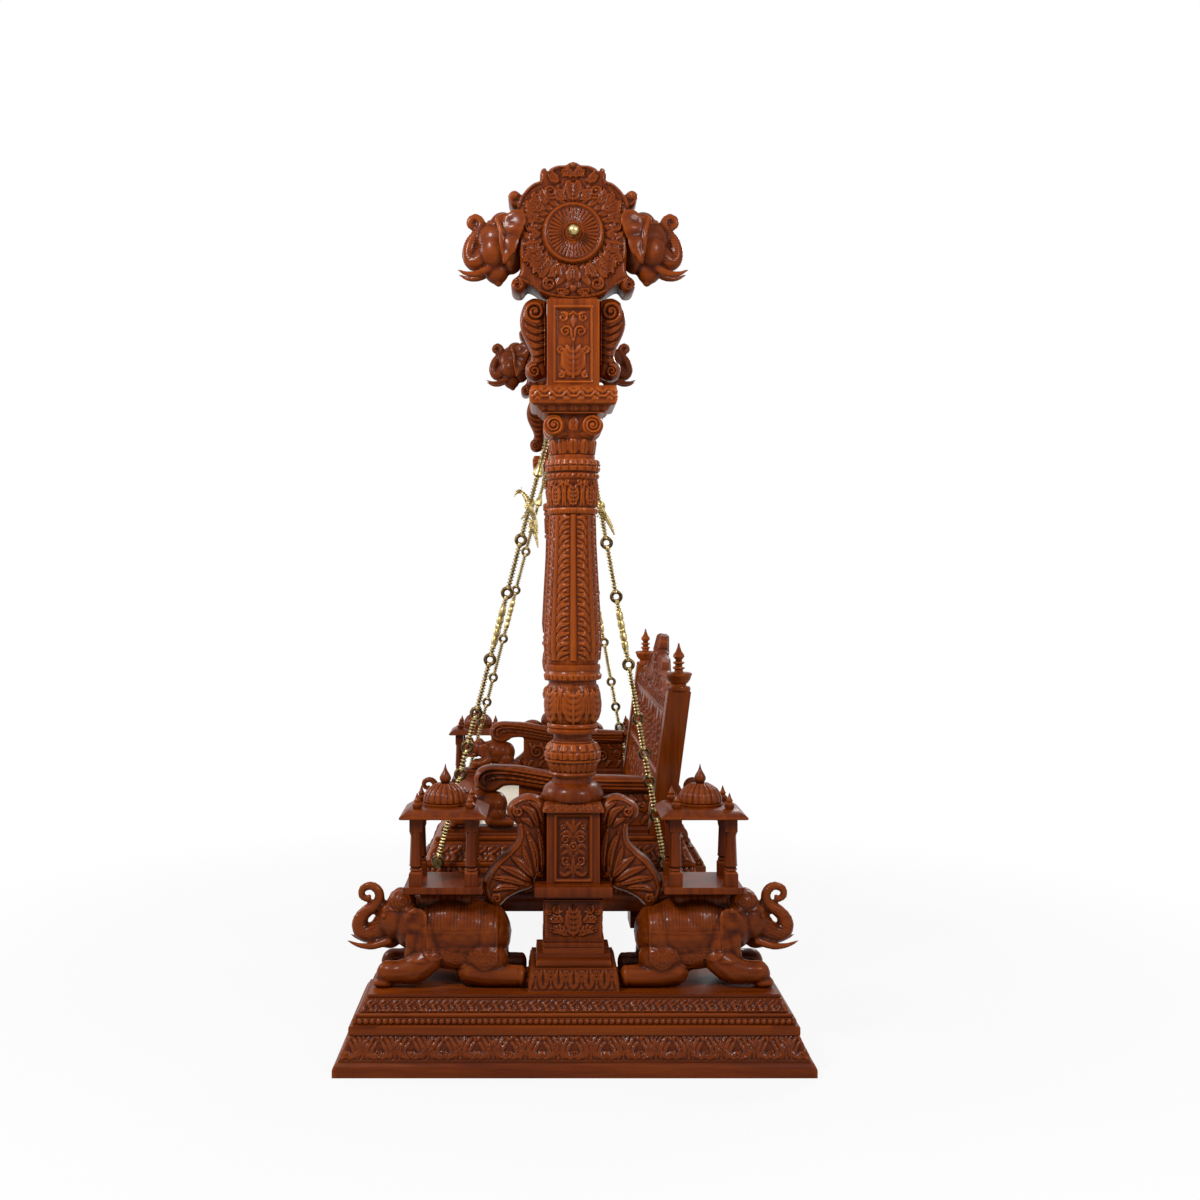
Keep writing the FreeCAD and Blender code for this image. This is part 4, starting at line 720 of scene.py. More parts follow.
foot_profile = [(51, 714), (51, 722), (59, 722), (62, 727), (59, 732),
    (56, 732, petal_ring(26, 60, 14, 27, 3)), (66, 760), (72, 760), (73, 763),
    (70, 766, petal_ring(16, 70, 27, 22, 4)), (70, 786), (70, 787, drops), (59, 807), (55, 807),
    (55, 813), (51, 813), (49, 822), (51, 832), (64, 832), (67, 836), (67, 841), (63, 845), (67, 849),
    (67, 854), (64, 858)]
vase_profile = [(59, 858, vase_leaf), (66, 872, vase_leaf), (71, 890, vase_leaf), (72, 908, vase_leaf),
    (69, 936, vase_leaf), (62, 960), (62, 971), (69, 971, petal_ring(16, 72, 28, 18, 5)), (72, 988),
    (70, 996), (71, 996), (73, 1003), (71, 1011), (65, 1011)]
shaft_profile = [(68, 1021, ribs), (72, 1062, ribs), (66, 1179, ribs), (58, 1323, ribs), (56, 1402),
    (62, 1402, petal_ring(24, 62, 16, 14, 3)), (64, 1417), (60, 1417)]
head_profile = [(60, 1420, bell_leaves), (63, 1490), (66, 1494), (67, 1495, rope), (67, 1506),
    (65, 1508), (66, 1511, gadroon_ring()), (70, 1526, gadroon_ring()), (66, 1543), (58, 1544),
    (58, 1554), (54, 1555, petal_ring(12, 58, 30, 38, 4)), (60, 1596), (62, 1598)]
bm = bmesh.new()
column_profile = foot_profile + vase_profile + shaft_profile + head_profile
round_moulding(bm, column_profile, 176)
end_copies(to_mesh(bm, "column"), "carved_column", teak_upright, ["column"])
print("column rows:", len(profile_rows(column_profile, TURNED_CELL)))

# %% [markdown]
# The capital has a scrolled bolster on each side and a flared slab over it. Its volutes are carved
# discs on the ends of the bolsters. The block over it carries the beam and has a tall sunk panel:
# scrolls that meet in a heart, above one tall leaf. Plates are drawn flat, then stood up to face
# the end of the swing or its front.
# %% Capital and upper post
FACE_END = Matrix(((0, 0, 1, 0), (1, 0, 0, 0), (0, 1, 0, 0), (0, 0, 0, 1)))
FACE_FRONT = Matrix(((1, 0, 0, 0), (0, 0, -1, 0), (0, 1, 0, 0), (0, 0, 0, 1)))
EDGE_FADE = 5
EDGE_CATCH = 0.55


def nearest_on_loops(x, y, loops):
    """Whether each point is inside the loops, how far off their edges are and the nearest spot."""
    starts = np.vstack(loops)
    stops = np.vstack([np.roll(loop, -1, axis=0) for loop in loops])
    inside = np.zeros(len(x), bool)
    nearest = np.full(len(x), 1e9)
    near_x, near_y = x.copy(), y.copy()
    for (ax, ay), (bx, by) in zip(starts, stops):
        if ay != by:
            crosses = (ay > y) != (by > y)
            inside ^= crosses & (x < (bx - ax) * (y - ay) / (by - ay) + ax)
        length = max((bx - ax) ** 2 + (by - ay) ** 2, 1e-9)
        t = np.clip(((x - ax) * (bx - ax) + (y - ay) * (by - ay)) / length, 0, 1)
        px, py = ax + t * (bx - ax), ay + t * (by - ay)
        distance = np.hypot(x - px, y - py)
        closer = distance < nearest
        nearest[closer] = distance[closer]
        near_x[closer], near_y[closer] = px[closer], py[closer]
    return inside, nearest, near_x, near_y


def flat_plate(bm, edge, thickness, strokes, cell, soft, place=FACE_END, holes=()):
    """A plate of carving with a rounded edge, cut to an outline and carved alike on both faces."""
    edge = np.array(edge, float)
    low, high = edge.min(0), edge.max(0)
    columns, rows = (max(2, int(math.ceil((high[k] - low[k]) / cell))) for k in (0, 1))
    label = bm.verts.layers.int.get("label") or bm.verts.layers.int.new("label")
    grid = bmesh.ops.create_grid(bm, x_segments=columns, y_segments=rows, size=1)["verts"]
    x = np.array([(v.co.x + 1) / 2 for v in grid]) * (high[0] - low[0]) + low[0]
    y = np.array([(v.co.y + 1) / 2 for v in grid]) * (high[1] - low[1]) + low[1]
    loops = [edge] + [np.array(hole, float) for hole in holes]
    inside, nearest, near_x, near_y = nearest_on_loops(x, y, loops)
    keep = inside | (nearest < cell * EDGE_CATCH)
    number = {v: k for k, v in enumerate(grid)}
    faces = dict.fromkeys(f for v in grid for f in v.link_faces)
    kept = [f for f in faces if all(keep[number[v]] for v in f.verts)]
    outside = [f for f in faces if not all(keep[number[v]] for v in f.verts)]
    bmesh.ops.delete(bm, geom=outside, context="FACES")
    loose = [v for v in grid if v.is_valid and not v.link_faces]
    alive = [(k, v) for k, v in enumerate(grid) if v.is_valid and v.link_faces]
    bmesh.ops.delete(bm, geom=loose, context="VERTS")
    lift = carve_height(x, y, strokes)
    inner = np.where(inside, nearest, 0)
    rounded = np.sqrt(np.clip(soft ** 2 - np.clip(soft - inner, 0, soft) ** 2, 0, None)) - soft
    lift = rounded + lift * np.clip(inner / EDGE_FADE, 0, 1)
    for k, v in alive:
        v[label] = k
        if v.is_boundary or not inside[k]:
            x[k], y[k], lift[k] = near_x[k], near_y[k], -soft
    made = bmesh.ops.extrude_face_region(bm, geom=kept)["geom"]
    fresh = {g for g in made if isinstance(g, bmesh.types.BMVert)}
    old = [v for v in dict.fromkeys(v for f in kept for v in f.verts) if v not in fresh]
    for side, verts in ((-1, old), (1, fresh)):
        for v in verts:
            k = v[label]
            v.co = Vector((x[k], y[k], side * (thickness / 2 + lift[k])))
    bmesh.ops.transform(bm, matrix=Matrix.Scale(MM, 4) @ place, verts=[*old, *fresh])


heart_panel = mirrored([(spiral((19, 122), 15, 2, 1.5, 200, -1), 3.4, 2.2, 3.8),
    ([(5, 118), (2, 104), (0, 96)], 3, 2, 3.2), (spiral((26, 158), 12, 2, 1.3, 80), 3, 2, 3.4),
    ([(0, 172), (10, 166), (24, 172)], 3, 2, 3.2), (spiral((31, 10), 9, 2, 1.2, 100), 3.4, 2, 3.4),
    (spiral((33, 76), 9, 2, 1.2, 250), 3.4, 2, 3.4)])
heart_panel += acanthus((0, 4), (0, 44), (0, 92), 29, 4.2) + leaf((0, 132), (0, 146), (0, 164), 6, 3.6)
garland = (mirrored([([(0, 13), (9, 15), (18.3, 27)], 3.4, 3.4, 3.4)]
    + leaf((3, 22), (9, 30), (17, 34), 4, 3.2) + leaf((10, 5), (15, 8), (18.3, 15), 3.4, 3))
    + [([(0, 25), (0, 26)], 4.6, 4.6, 4)])
bm = bmesh.new()
round_moulding(bm, [(58, 1598), (60, 1606), (66, 1616)], 48)
square_moulding(bm, 61, 61, [(8, 1598), (2, 1608,
    repeated(40, mirrored(leaf((0, 0), (6, 20), (0, 42), 7)))), (0, 1652), (0, 1658)])
square_moulding(bm, 105, 105, [(24, 1658), (24, 1662),
    (22, 1663, repeated(28, petals(28, 18, 0.42, 3))), (10, 1680), (5, 1683)])
square_moulding(bm, 110, 110, [(9, 1676), (3, 1679), (0, 1684, repeated(36.6, garland)), (0, 1718),
    (2, 1723), (6, 1726)])
for side in (-1, 1):
    for face in (-1, 1):
        volute = [(spiral((0, 0), 22, 3, 2.1, 90 * side, -side), 4.2, 2.6, 4.2),
            ([(0, 0), (0, 0.5)], 6, 6, 5.5)]
        flat_plate(bm, circle(27, 48), 60, volute, 1.8, 4,
                   Matrix.Translation((face * 45, side * 50, 1628)) @ FACE_END)
end_copies(to_mesh(bm, "capital"), "carved_capital", teak_upright, ["capital"])

bm = bmesh.new()
heart_front = sunk_panel(45.5, 14, 202, moved(heart_panel, y=20))
square_moulding(bm, 67, 67, [(0, 1726), (0, 1728, heart_front), (0, 1951), (0, 1952)], cell=2.6,
    carved_sides=(0, 2))
end_copies(to_mesh(bm, "upper_post"), "panelled_post", teak_upright, ["upper_post"])
print("capital and upper post made")


# %% [markdown]
# The scrolls that lean on the post and on the pedestal are sawn from thick boards. An outline
# cuts the board, its edge is rounded over, and fans of plain leaves between curls are carved on
# both faces. The lower ones spread like a bird with its wings half open.
# %% Scroll brackets
def bracket_pair(name, edge, strokes, thickness, soft, node_name):
    bm = bmesh.new()
    for side in (-1, 1):
        outline = smooth_path([(side * a, b) for a, b in edge], 3)
        flat_plate(bm, outline, thickness, moved(strokes, flip=side), 2.4, soft)
    end_copies(to_mesh(bm, name), name, teak_upright_shaded, [node_name])


upper_edge = [(68, 1956), (84, 1962), (104, 1964), (124, 1952), (134, 1930), (138, 1905), (134, 1880),
    (124, 1856), (114, 1836), (108, 1816), (112, 1800), (122, 1790), (124, 1774), (118, 1758),
    (104, 1750), (88, 1752), (68, 1760)]
upper_strokes = [(spiral((98, 1926), 29, 4, 1.9, 250, 1), 6.5, 3.5, 7),
    ([(98, 1926), (98, 1927)], 6, 6, 8), (spiral((100, 1772), 17, 3, 1.6, 100, -1), 5, 2.8, 6),
    ([(72, 1952), (70, 1900), (70, 1790)], 5, 5, 5)]
for step in range(6):
    base = 1896 - step * 19
    upper_strokes += leaf((76, base), (98, base - 2), (128 - step * 4, base + 14 - step), 7, 5)
bracket_pair("upper_bracket", upper_edge, upper_strokes, 64, 18, "upper_brackets")

lower_edge = [(68, 650), (82, 662), (100, 671), (124, 672), (146, 663), (164, 650), (172, 633),
    (169, 615), (156, 602), (145, 590), (144, 570), (148, 550), (166, 530), (190, 511), (212, 486),
    (228, 460), (235, 432), (229, 406), (214, 384), (198, 378), (184, 386), (168, 402), (136, 418),
    (112, 426), (103, 436), (102, 449), (68, 449)]
lower_strokes = [([(80, 648), (102, 663), (130, 662), (155, 648), (164, 630), (158, 611)], 6, 5, 4.5),
    (spiral((142, 630), 13, 3, 1.3, 40, -1), 5, 3, 5), *leaf((76, 600), (84, 636), (110, 654), 10, 6),
    *leaf((90, 592), (106, 628), (132, 642), 11, 6), *leaf((104, 590), (116, 604), (134, 612), 8, 5.5),
    ([(137, 592), (134, 570), (141, 546), (162, 522), (190, 496), (212, 468), (224, 436), (216, 404)],
    6, 5, 5), *leaf((78, 476), (78, 530), (90, 586), 9, 5.5),
    *leaf((92, 470), (98, 524), (118, 574), 11, 6), *leaf((106, 468), (120, 506), (130, 540), 8, 5),
    *leaf((100, 458), (134, 494), (158, 512), 11, 6), *leaf((112, 450), (152, 474), (186, 486), 11, 6),
    *leaf((126, 442), (168, 454), (206, 458), 10, 6), *leaf((142, 432), (176, 434), (208, 426), 9, 5.5),
    (spiral((198, 404), 13, 3, 1.3, 330, 1), 5, 3, 5),
    (spiral((86, 458), 11, 3, 1.3, 90, -1), 4, 3, 4.5)]
bracket_pair("bird_bracket", lower_edge, lower_strokes, 60, 26, "pedestal_brackets")
print("brackets made")

# %% [markdown]
# The crest is the carved end of the beam. A boss tops it, volutes roll at its corners and leaves
# fill it, all round a big rosette whose fluted dish holds the brass bolt head.
# %% Crest and rosette
RAYS, FLUTES = 15, 36
ROSETTE_HEIGHT = 2123
right_edge = [(0, 187), (10, 184), (18, 179), (26, 178), (42, 177), (58, 170), (66, 162), (72, 171),
    (82, 166), (86, 150), (86, 138), (102, 132), (120, 117), (133, 101), (138, 106), (150, 113),
    (162, 108), (168, 97), (164, 84), (157, 74), (140, 62), (136, 20), (140, -30), (136, -80),
    (140, -104), (156, -118), (160, -136), (150, -150), (132, -150), (118, -134), (98, -142),
    (80, -156), (56, -166), (26, -171), (0, -172)]
crest_edge = smooth_path(right_edge, 3).tolist()
crest_edge += [(-a, b) for a, b in crest_edge[-2:0:-1]]
crest_strokes = [([(153, 99), (154, 99)], 12, 12, 9), ([(163, 90), (156, 76), (142, 66)], 6, 4, 6),
    ([(142, 66), (130, 96), (104, 122), (84, 131)], 4, 3, 5),
    ([(84, 132), (88, 150), (78, 166)], 5, 3, 5), ([(62, 158), (42, 169), (22, 170)], 4, 3, 5),
    ([(0, 177), (0, 178)], 8, 8, 6), ([(14, 171), (15, 172)], 6, 6, 5),
    (spiral((143, -134), 13, 3, 1.5, 120, 1), 5, 3, 8),
    ([(146, -112), (122, -124), (96, -142), (60, -158), (20, -164), (0, -165)], 3.5, 3.5, 5),
    (spiral((58, 106), 17, 4, 1.6, 250, 1), 5.4, 3, 7),
    (spiral((94, 92), 13, 3, 1.4, 60, -1), 4.6, 3, 6),
    (spiral((112, 20), 14, 4, 1.5, 180, 1), 4.6, 3, 6),
    (spiral((106, -14), 10, 3, 1.3, 150, -1), 4, 3, 5),
    (spiral((62, -130), 16, 4, 1.6, 60, -1), 5, 3, 7), ([(0, -140), (0, -141)], 9, 9, 6)]
crest_strokes += (acanthus((0, 82), (0, 112), (0, 136), 20, 7)
    + acanthus((0, -82), (0, -104), (0, -122), 17, 7))
CREST_LEAVES = (((22, 86), (34, 98), (30, 116), 13), ((0, 146), (16, 156), (34, 154), 11),
    ((36, 132), (50, 142), (62, 156), 11), ((76, 60), (100, 74), (114, 88), 19),
    ((88, 40), (110, 42), (128, 54), 15), ((66, 76), (74, 94), (72, 118), 14),
    ((88, 2), (98, 0), (108, 4), 9), ((86, -26), (106, -34), (124, -34), 14),
    ((80, -44), (102, -62), (120, -82), 19), ((62, -62), (80, -88), (96, -110), 19),
    ((36, -78), (44, -96), (40, -112), 14), ((8, -152), (28, -151), (48, -147), 9))
for a, b, c, wide in CREST_LEAVES:
    crest_strokes += acanthus(a, b, c, wide, 6.5)
for k in range(RAYS):
    angle = math.pi * (k + 0.5) / RAYS
    out = np.array((math.sin(angle), math.cos(angle)))
    turned = np.array((out[1], -out[0])) * 9
    reach = 128 if k < RAYS - 2 else 140
    crest_strokes += leaf(tuple(out * 84), tuple(out * 108 + turned), tuple(out * reach), 11, 3.6)
rosette_strokes = [(spiral((0, 0), 74, 74, 1, 0, 1, 40), 7, 7, 7),
    (spiral((0, 0), 66, 66, 1, 0, 1, 40), 2, 2, 4), (spiral((0, 0), 25, 25, 1, 0, 1, 30), 3, 3, 4)]
for k in range(FLUTES):
    angle = 2 * math.pi * (k + 0.5) / FLUTES
    cos, sin = math.cos(angle), math.sin(angle)
    rosette_strokes.append(([(28 * cos, 28 * sin), (62 * cos, 62 * sin)], 2.6, 5.2, 4.2))
bm = bmesh.new()
lift = Matrix.Translation((0, 0, ROSETTE_HEIGHT)) @ FACE_END
flat_plate(bm, crest_edge, 118, mirrored(crest_strokes), 2.9, 10, lift)
for face in (-1, 1):
    at_face = Matrix.Translation((face * 54, 0, 0)) @ lift
    flat_plate(bm, circle(80, 96), 24, rosette_strokes, 2.2, 3, at_face)
square_moulding(bm, 60, 62, [(0, 1950), (0, 1956), (4, 1962)])
end_copies(to_mesh(bm, "crest"), "carved_crest", teak_upright_shaded, ["crest"])
seat_bm, knob_bm = bmesh.new(), bmesh.new()
BOSS_STEPS = ((seat_bm, 23, 21, 66), (seat_bm, 20, 15, 70), (knob_bm, 13, 12, 74), (knob_bm, 10, 14, 78))
for made, low, high, out in BOSS_STEPS:
    spot = Matrix.Translation((out * MM, 0, ROSETTE_HEIGHT * MM)) @ Matrix.Rotation(math.pi / 2, 4, "Y")
    bmesh.ops.create_cone(made, cap_ends=True, segments=40, radius1=low * MM, radius2=high * MM,
        depth=5 * MM, matrix=spot)
ball = bmesh.ops.create_uvsphere(knob_bm, u_segments=32, v_segments=20, radius=0.0155)["verts"]
bmesh.ops.translate(knob_bm, verts=ball, vec=(0.093, 0, ROSETTE_HEIGHT * MM))
end_copies(to_mesh(seat_bm, "boss_seat"), "boss_seat", teak_upright_shaded)
end_copies(to_mesh(knob_bm, "boss"), "bolt_boss", brass, ["end_boss"])
print("crest and rosette made")


# %% [markdown]
# Figures are carved from one lump each. Round masses and limbs are laid out, a voxel remesh
# fuses them into one skin, and smoothing takes the tool marks out. Ears are fans of flat lumps
# that the remesh joins to the head. Folds, and a blanket with ribs and a scalloped hem, are then
# pressed out of the skin.
# %% Lumps and limbs
LIMB_STEPS = 6
CAP_PITCH = 9
EAR_FLARE = 16
EAR_FAN = ((20, 8, 27, 34, 0), (30, 24, 24, 24, 30), (18, -24, 18, 34, -12), (8, -54, 9, 20, -18))


def lump(bm, centre, sizes, tilt=0.0, flare=Matrix.Identity(4)):
    ball = bmesh.ops.create_icosphere(bm, subdivisions=3, radius=1)["verts"]
    turn = flare @ Matrix.Rotation(math.radians(tilt), 4, "X")
    bmesh.ops.transform(bm, matrix=Matrix.Translation(centre) @ turn @ Matrix.Diagonal((*sizes, 1)),
        verts=ball)


def limb(bm, joints):
    """Close-set balls along a smooth path of (across, forward, up, radius)."""
    for across, forward, up, radius in smooth_path(joints, LIMB_STEPS):
        ball = bmesh.ops.create_icosphere(bm, subdivisions=2, radius=radius)["verts"]
        bmesh.ops.translate(bm, verts=ball, vec=(across, -forward, up))


def evaluated_mesh(thing):
    """The mesh of an object with its modifiers worked out."""
    bpy.context.view_layer.update()
    ready = thing.evaluated_get(bpy.context.evaluated_depsgraph_get())
    return bpy.data.meshes.new_from_object(ready)


def remeshed(thing, voxel):
    remesh = thing.modifiers.new("skin", "REMESH")
    remesh.mode = "VOXEL"
    remesh.voxel_size = voxel


def fused(bm, name, voxel, rounds=4):
    """One closed skin round everything in the bmesh, which is in millimetres."""
    bmesh.ops.scale(bm, vec=(MM, MM, MM), verts=bm.verts)
    thing = add_object(name, bm_to_mesh(bm, name))
    remeshed(thing, voxel * MM)
    smooth = thing.modifiers.new("smooth", "SMOOTH")
    smooth.factor = 0.5
    smooth.iterations = rounds
    skin = evaluated_mesh(thing)
    bpy.data.objects.remove(thing)
    shade_smooth(skin)
    return skin


def press(mesh, height):
    """Moves each vertex along its normal by height(x, forward, z, normal) in millimetres."""
    place, facing = mesh_arrays(mesh)
    added = height(place[:, 0] / MM, -place[:, 1] / MM, place[:, 2] / MM, facing) * MM
    place += facing * added[:, None]
    mesh.vertices.foreach_set("co", place.ravel())
    mesh.update()


def add_mesh(bm, mesh):
    bm.from_mesh(mesh)
    bpy.data.meshes.remove(mesh)


def ear(bm, side, root, size):
    """A soft ear that hangs back from its root: thin lumps in a fan, fused with the skin later."""
    flare = Matrix.Rotation(math.radians(side * -EAR_FLARE), 4, "Z")
    for back, up, long, high, tilt in EAR_FAN:
        spot = Vector(root) + flare @ Vector((0, back * size, up * size))
        lump(bm, spot, (7 * size, long * size, high * size), tilt, flare)


def ear_folds(x, forward, up, root, size, facing):
    """Ribs that spread from the root of an ear, in millimetres of height."""
    back, rise = (root[0] - forward) / size, (up - root[1]) / size
    near = (np.abs(x) > root[2]) & (back > -6) & (back < 52) & (rise > -72) & (rise < 52) & (
        np.abs(facing[:, 0]) > 0.35)
    angle, reach = np.arctan2(rise - 6, back + 8), np.hypot(back + 8, rise - 6)
    return near * 1.9 * np.cos(5.5 * angle) * np.clip((reach - 14) / 16, 0, 1)


def cap_ridges(around_crown, deep):
    return 1.4 + deep * np.abs(np.cos(np.pi * around_crown / CAP_PITCH))


# %% [markdown]
# The kneeling elephants carry the pavilions. One is made, facing forward of the column, and its
# copies are turned for the other side and the other end. A half-size pair kneels under the
# arms of the seat.
# %% Elephants
SADDLE_TOP = 243.5
BLANKET_BACK, BLANKET_FRONT, SCALLOP = 192, 386, 72
HEM_RISES_FROM = 326
EAR_SIZE = 1.12


def elephant_skin(voxel, saddled):
    bm = bmesh.new()
    for forward, up, sizes in ((285, 128, (90, 126, 92)), (322, 148, (82, 98, 80)),
            (228, 124, (86, 68, 84)), (378, 130, (80, 60, 84)), (424, 150, (64, 48, 68)),
            (462, 160, (52, 48, 56)), (478, 108, (27, 30, 25)), (492, 94, (11, 14, 10))):
        lump(bm, (0, -forward, up), sizes)
    for side in (-1, 1):
        lump(bm, (side * 17, -446, 206), (27, 35, 31))
        lump(bm, (side * 20, -478, 186), (22, 20, 20))
        lump(bm, (side * 50, -230, 74), (44, 64, 54), -20)
        limb(bm, [(side * 54, 262, 40, 38), (side * 60, 222, 33, 34), (side * 63, 184, 29, 29),
            (side * 64, 148, 29, 28)])
        limb(bm, [(side * 58, 372, 70, 38), (side * 62, 406, 46, 38), (side * 62, 446, 38, 31),
            (side * 61, 476, 38, 30)])
        limb(bm, [(side * 61, 482, 34, 26), (side * 61, 484, 18, 24)])
        limb(bm, [(side * 24, 480, 108, 12), (side * 29, 520, 96, 10), (side * 32, 556, 99, 7),
            (side * 33, 586, 112, 3)])
        lump(bm, (side * 64, -134, 28), (27, 14, 28))
        lump(bm, (side * 61, -488, 13), (27, 28, 15))
        lump(bm, (side * 40, -300, 84), (44, 96, 46))
        lump(bm, (side * 50, -376, 104), (34, 38, 52), 20)
        ear(bm, side, (side * 58, -432, 150), EAR_SIZE)
    limb(bm, [(0, 478, 158, 38), (0, 504, 134, 31), (0, 530, 122, 26), (0, 552, 130, 23),
        (0, 557, 152, 20.5), (0, 543, 176, 17.5), (0, 520, 192, 15.5), (0, 506, 208, 14),
        (0, 506, 228, 13), (0, 518, 243, 12), (0, 536, 246, 11), (0, 550, 237, 10), (0, 552, 221, 9),
        (0, 541, 212, 8), (0, 532, 218, 7)])
    if saddled:
        for along in range(-3, 4):
            lump(bm, (0, PAVILION_Y - along * 18, 214), (42, 24, 30))
    everything = bm.verts[:] + bm.edges[:] + bm.faces[:]
    bmesh.ops.bisect_plane(bm, geom=everything, plane_co=(0, 0, 0), plane_no=(0, 0, -1), clear_outer=True)
    bmesh.ops.holes_fill(bm, edges=[edge for edge in bm.edges if edge.is_boundary], sides=0)
    everything = bm.verts[:] + bm.edges[:] + bm.faces[:]
    bmesh.ops.bisect_plane(bm, geom=everything, plane_co=(0, 0, SADDLE_TOP), plane_no=(0, 0, 1))
    for v in bm.verts:
        if v.co.z > SADDLE_TOP and abs(v.co.x) < 70 and -420 < v.co.y < -240:
            v.co.z = SADDLE_TOP
    return fused(bm, "elephant", voxel)


def ridge(distance, half_width=2.8, height=1.7):
    return height * np.clip(1 - np.abs(distance) / half_width, 0, 1)


def elephant_carving(x, forward, up, facing):
    """The blanket, with fine folds above, fans below and a scalloped hem, and the ridged cap."""
    flank = np.clip((np.abs(facing[:, 0]) - 0.2) * 3, 0, 1)
    hem = 70 - 22 * np.abs(np.cos(np.pi * (forward - 226) / SCALLOP))
    hem += np.clip((forward - HEM_RISES_FROM) / 1.6, 0, 60)
    cover = np.clip((forward - BLANKET_BACK) / 4, 0, 1) * np.clip((BLANKET_FRONT - forward) / 4, 0, 1)
    cover = cover * np.clip((up - hem) / 4, 0, 1)
    folds = 1.2 * np.abs(np.sin(np.pi * forward / 8.5)) * np.clip((up - 148) / 4, 0, 1)
    middle = (forward - 190) % SCALLOP - SCALLOP / 2
    radius, angle = np.hypot(middle, up - 98), np.arctan2(up - 98, middle)
    fans = (1.2 * np.abs(np.sin(9 * angle)) * ((radius > 14) & (radius < 31)) + ridge(radius - 11)
        + ridge(radius - 35))
    side = folds + ridge(up - 144) + fans * (up < 104) + ridge(up - hem - 4, 3, 1.6)
    side += ridge(forward - BLANKET_BACK - 4, 3, 1.6)
    trunk = np.where((forward > 505) & (up > 112),
        0.5 * np.sin(2 * np.pi * (up * 0.9 + forward * 0.4) / 8), 0)
    around_crown = np.hypot(forward - 440, up - 214)
    crown = (up > 190) & (forward < 484) & (forward > 402) & (around_crown < 44)
    cap = np.where(crown, cap_ridges(around_crown, 1.6), 0)
    toes = np.where((up < 15) & (up > 2) & (forward > 500), 1.6 * np.abs(np.cos(np.pi * x / 8)), 0)
    toes += ear_folds(x, forward, up, (434, 150, 62), EAR_SIZE, facing)
    return cover * (0.8 + flank * side) * (up < 243) + trunk + cap + toes


def with_eyes(skin, across, forward, up, size):
    bm = bmesh.new()
    add_mesh(bm, skin)
    for side in (-1, 1):
        for step, radius in ((0, size), (size * 0.45, size * 0.6)):
            ball = bmesh.ops.create_uvsphere(bm, u_segments=16, v_segments=10, radius=radius * MM)["verts"]
            bmesh.ops.translate(bm, verts=ball, vec=(side * (across + step) * MM,
                -(forward + step * 0.3) * MM, up * MM))
    return to_mesh(bm, "figure", 60)


skin = elephant_skin(3.8, True)
press(skin, elephant_carving)
elephant = with_eyes(skin, 40, 489, 176, 7)
row_copies([(elephant, "kneeling_elephant", "elephant")], teak_across, 0.185)
small = with_eyes(elephant_skin(6.0, False), 40, 489, 176, 7)
small.transform(Matrix.Translation((0, -0.103, 0)) @ Matrix.Scale(0.47, 4))
bm = bmesh.new()
for x in (-ARM_X * MM, ARM_X * MM):
    add_mesh(bm, placed_copy(small, x, 0.527, 0))
to_piece(to_mesh(bm, "arm_elephants", 60), "small_elephants", teak_across, "seat", ["arm_elephants"])
print("elephant faces:", len(elephant.polygons))

# %% [markdown]
# Two elephant heads look out from the sides of each crest, with raised, curled trunks.
# %% Crest elephants
HEAD_EAR_SIZE = 1.16


def head_carving(x, forward, up, facing):
    trunk = np.where((forward > 236) & (up > -70), 0.5 * np.sin(2 * np.pi * up / 7), 0)
    around_crown = np.hypot(forward - 176, up - 30)
    cap = np.where((up > 30) & (forward < 222) & (np.abs(x) < 44), cap_ridges(around_crown, 1.8), 0)
    return trunk + cap + ear_folds(x, forward, up, (180, 6, 56), HEAD_EAR_SIZE, facing)


bm = bmesh.new()
lump(bm, (0, -190, -10), (48, 62, 62))
lump(bm, (0, -182, 34), (36, 34, 32))
lump(bm, (0, -200, -80), (30, 34, 40), 10)
lump(bm, (0, -194, -112), (14, 12, 14))
lump(bm, (0, -160, -20), (44, 40, 74))
limb(bm, [(0, 210, -26, 38), (0, 236, -52, 30), (0, 256, -62, 24), (0, 269, -50, 20), (0, 271, -30, 18),
    (0, 264, -8, 16.5), (0, 250, 12, 14.5), (0, 240, 29, 13), (0, 241, 45, 11.5), (0, 252, 55, 10.5),
    (0, 265, 51, 10), (0, 270, 39, 9), (0, 263, 30, 8), (0, 256, 35, 7)])
for side in (-1, 1):
    limb(bm, [(side * 20, 214, -80, 12), (side * 26, 246, -96, 10), (side * 30, 274, -98, 7),
        (side * 31, 298, -88, 3)])
    lump(bm, (side * 20, -208, 6), (23, 21, 21))
    lump(bm, (side * 14, -202, -34), (38, 42, 50))
    ear(bm, side, (side * 55, -180, 6), HEAD_EAR_SIZE)
    limb(bm, [(side * 52, 196, 40, 7), (side * 62, 186, 4, 7), (side * 60, 184, -34, 6),
        (side * 58, 178, -62, 5)])
skin = fused(bm, "crest_head", 3.4)
press(skin, head_carving)
one_head = with_eyes(skin, 37, 213, -8, 6.5)
bm = bmesh.new()
for turn in (0, math.pi):
    add_mesh(bm, placed_copy(one_head, 0, ROSETTE_HEIGHT * MM, turn))
end_copies(to_mesh(bm, "crest_heads", 60), "crest_heads", teak_across, ["crest_elephants"])
print("crest heads made")

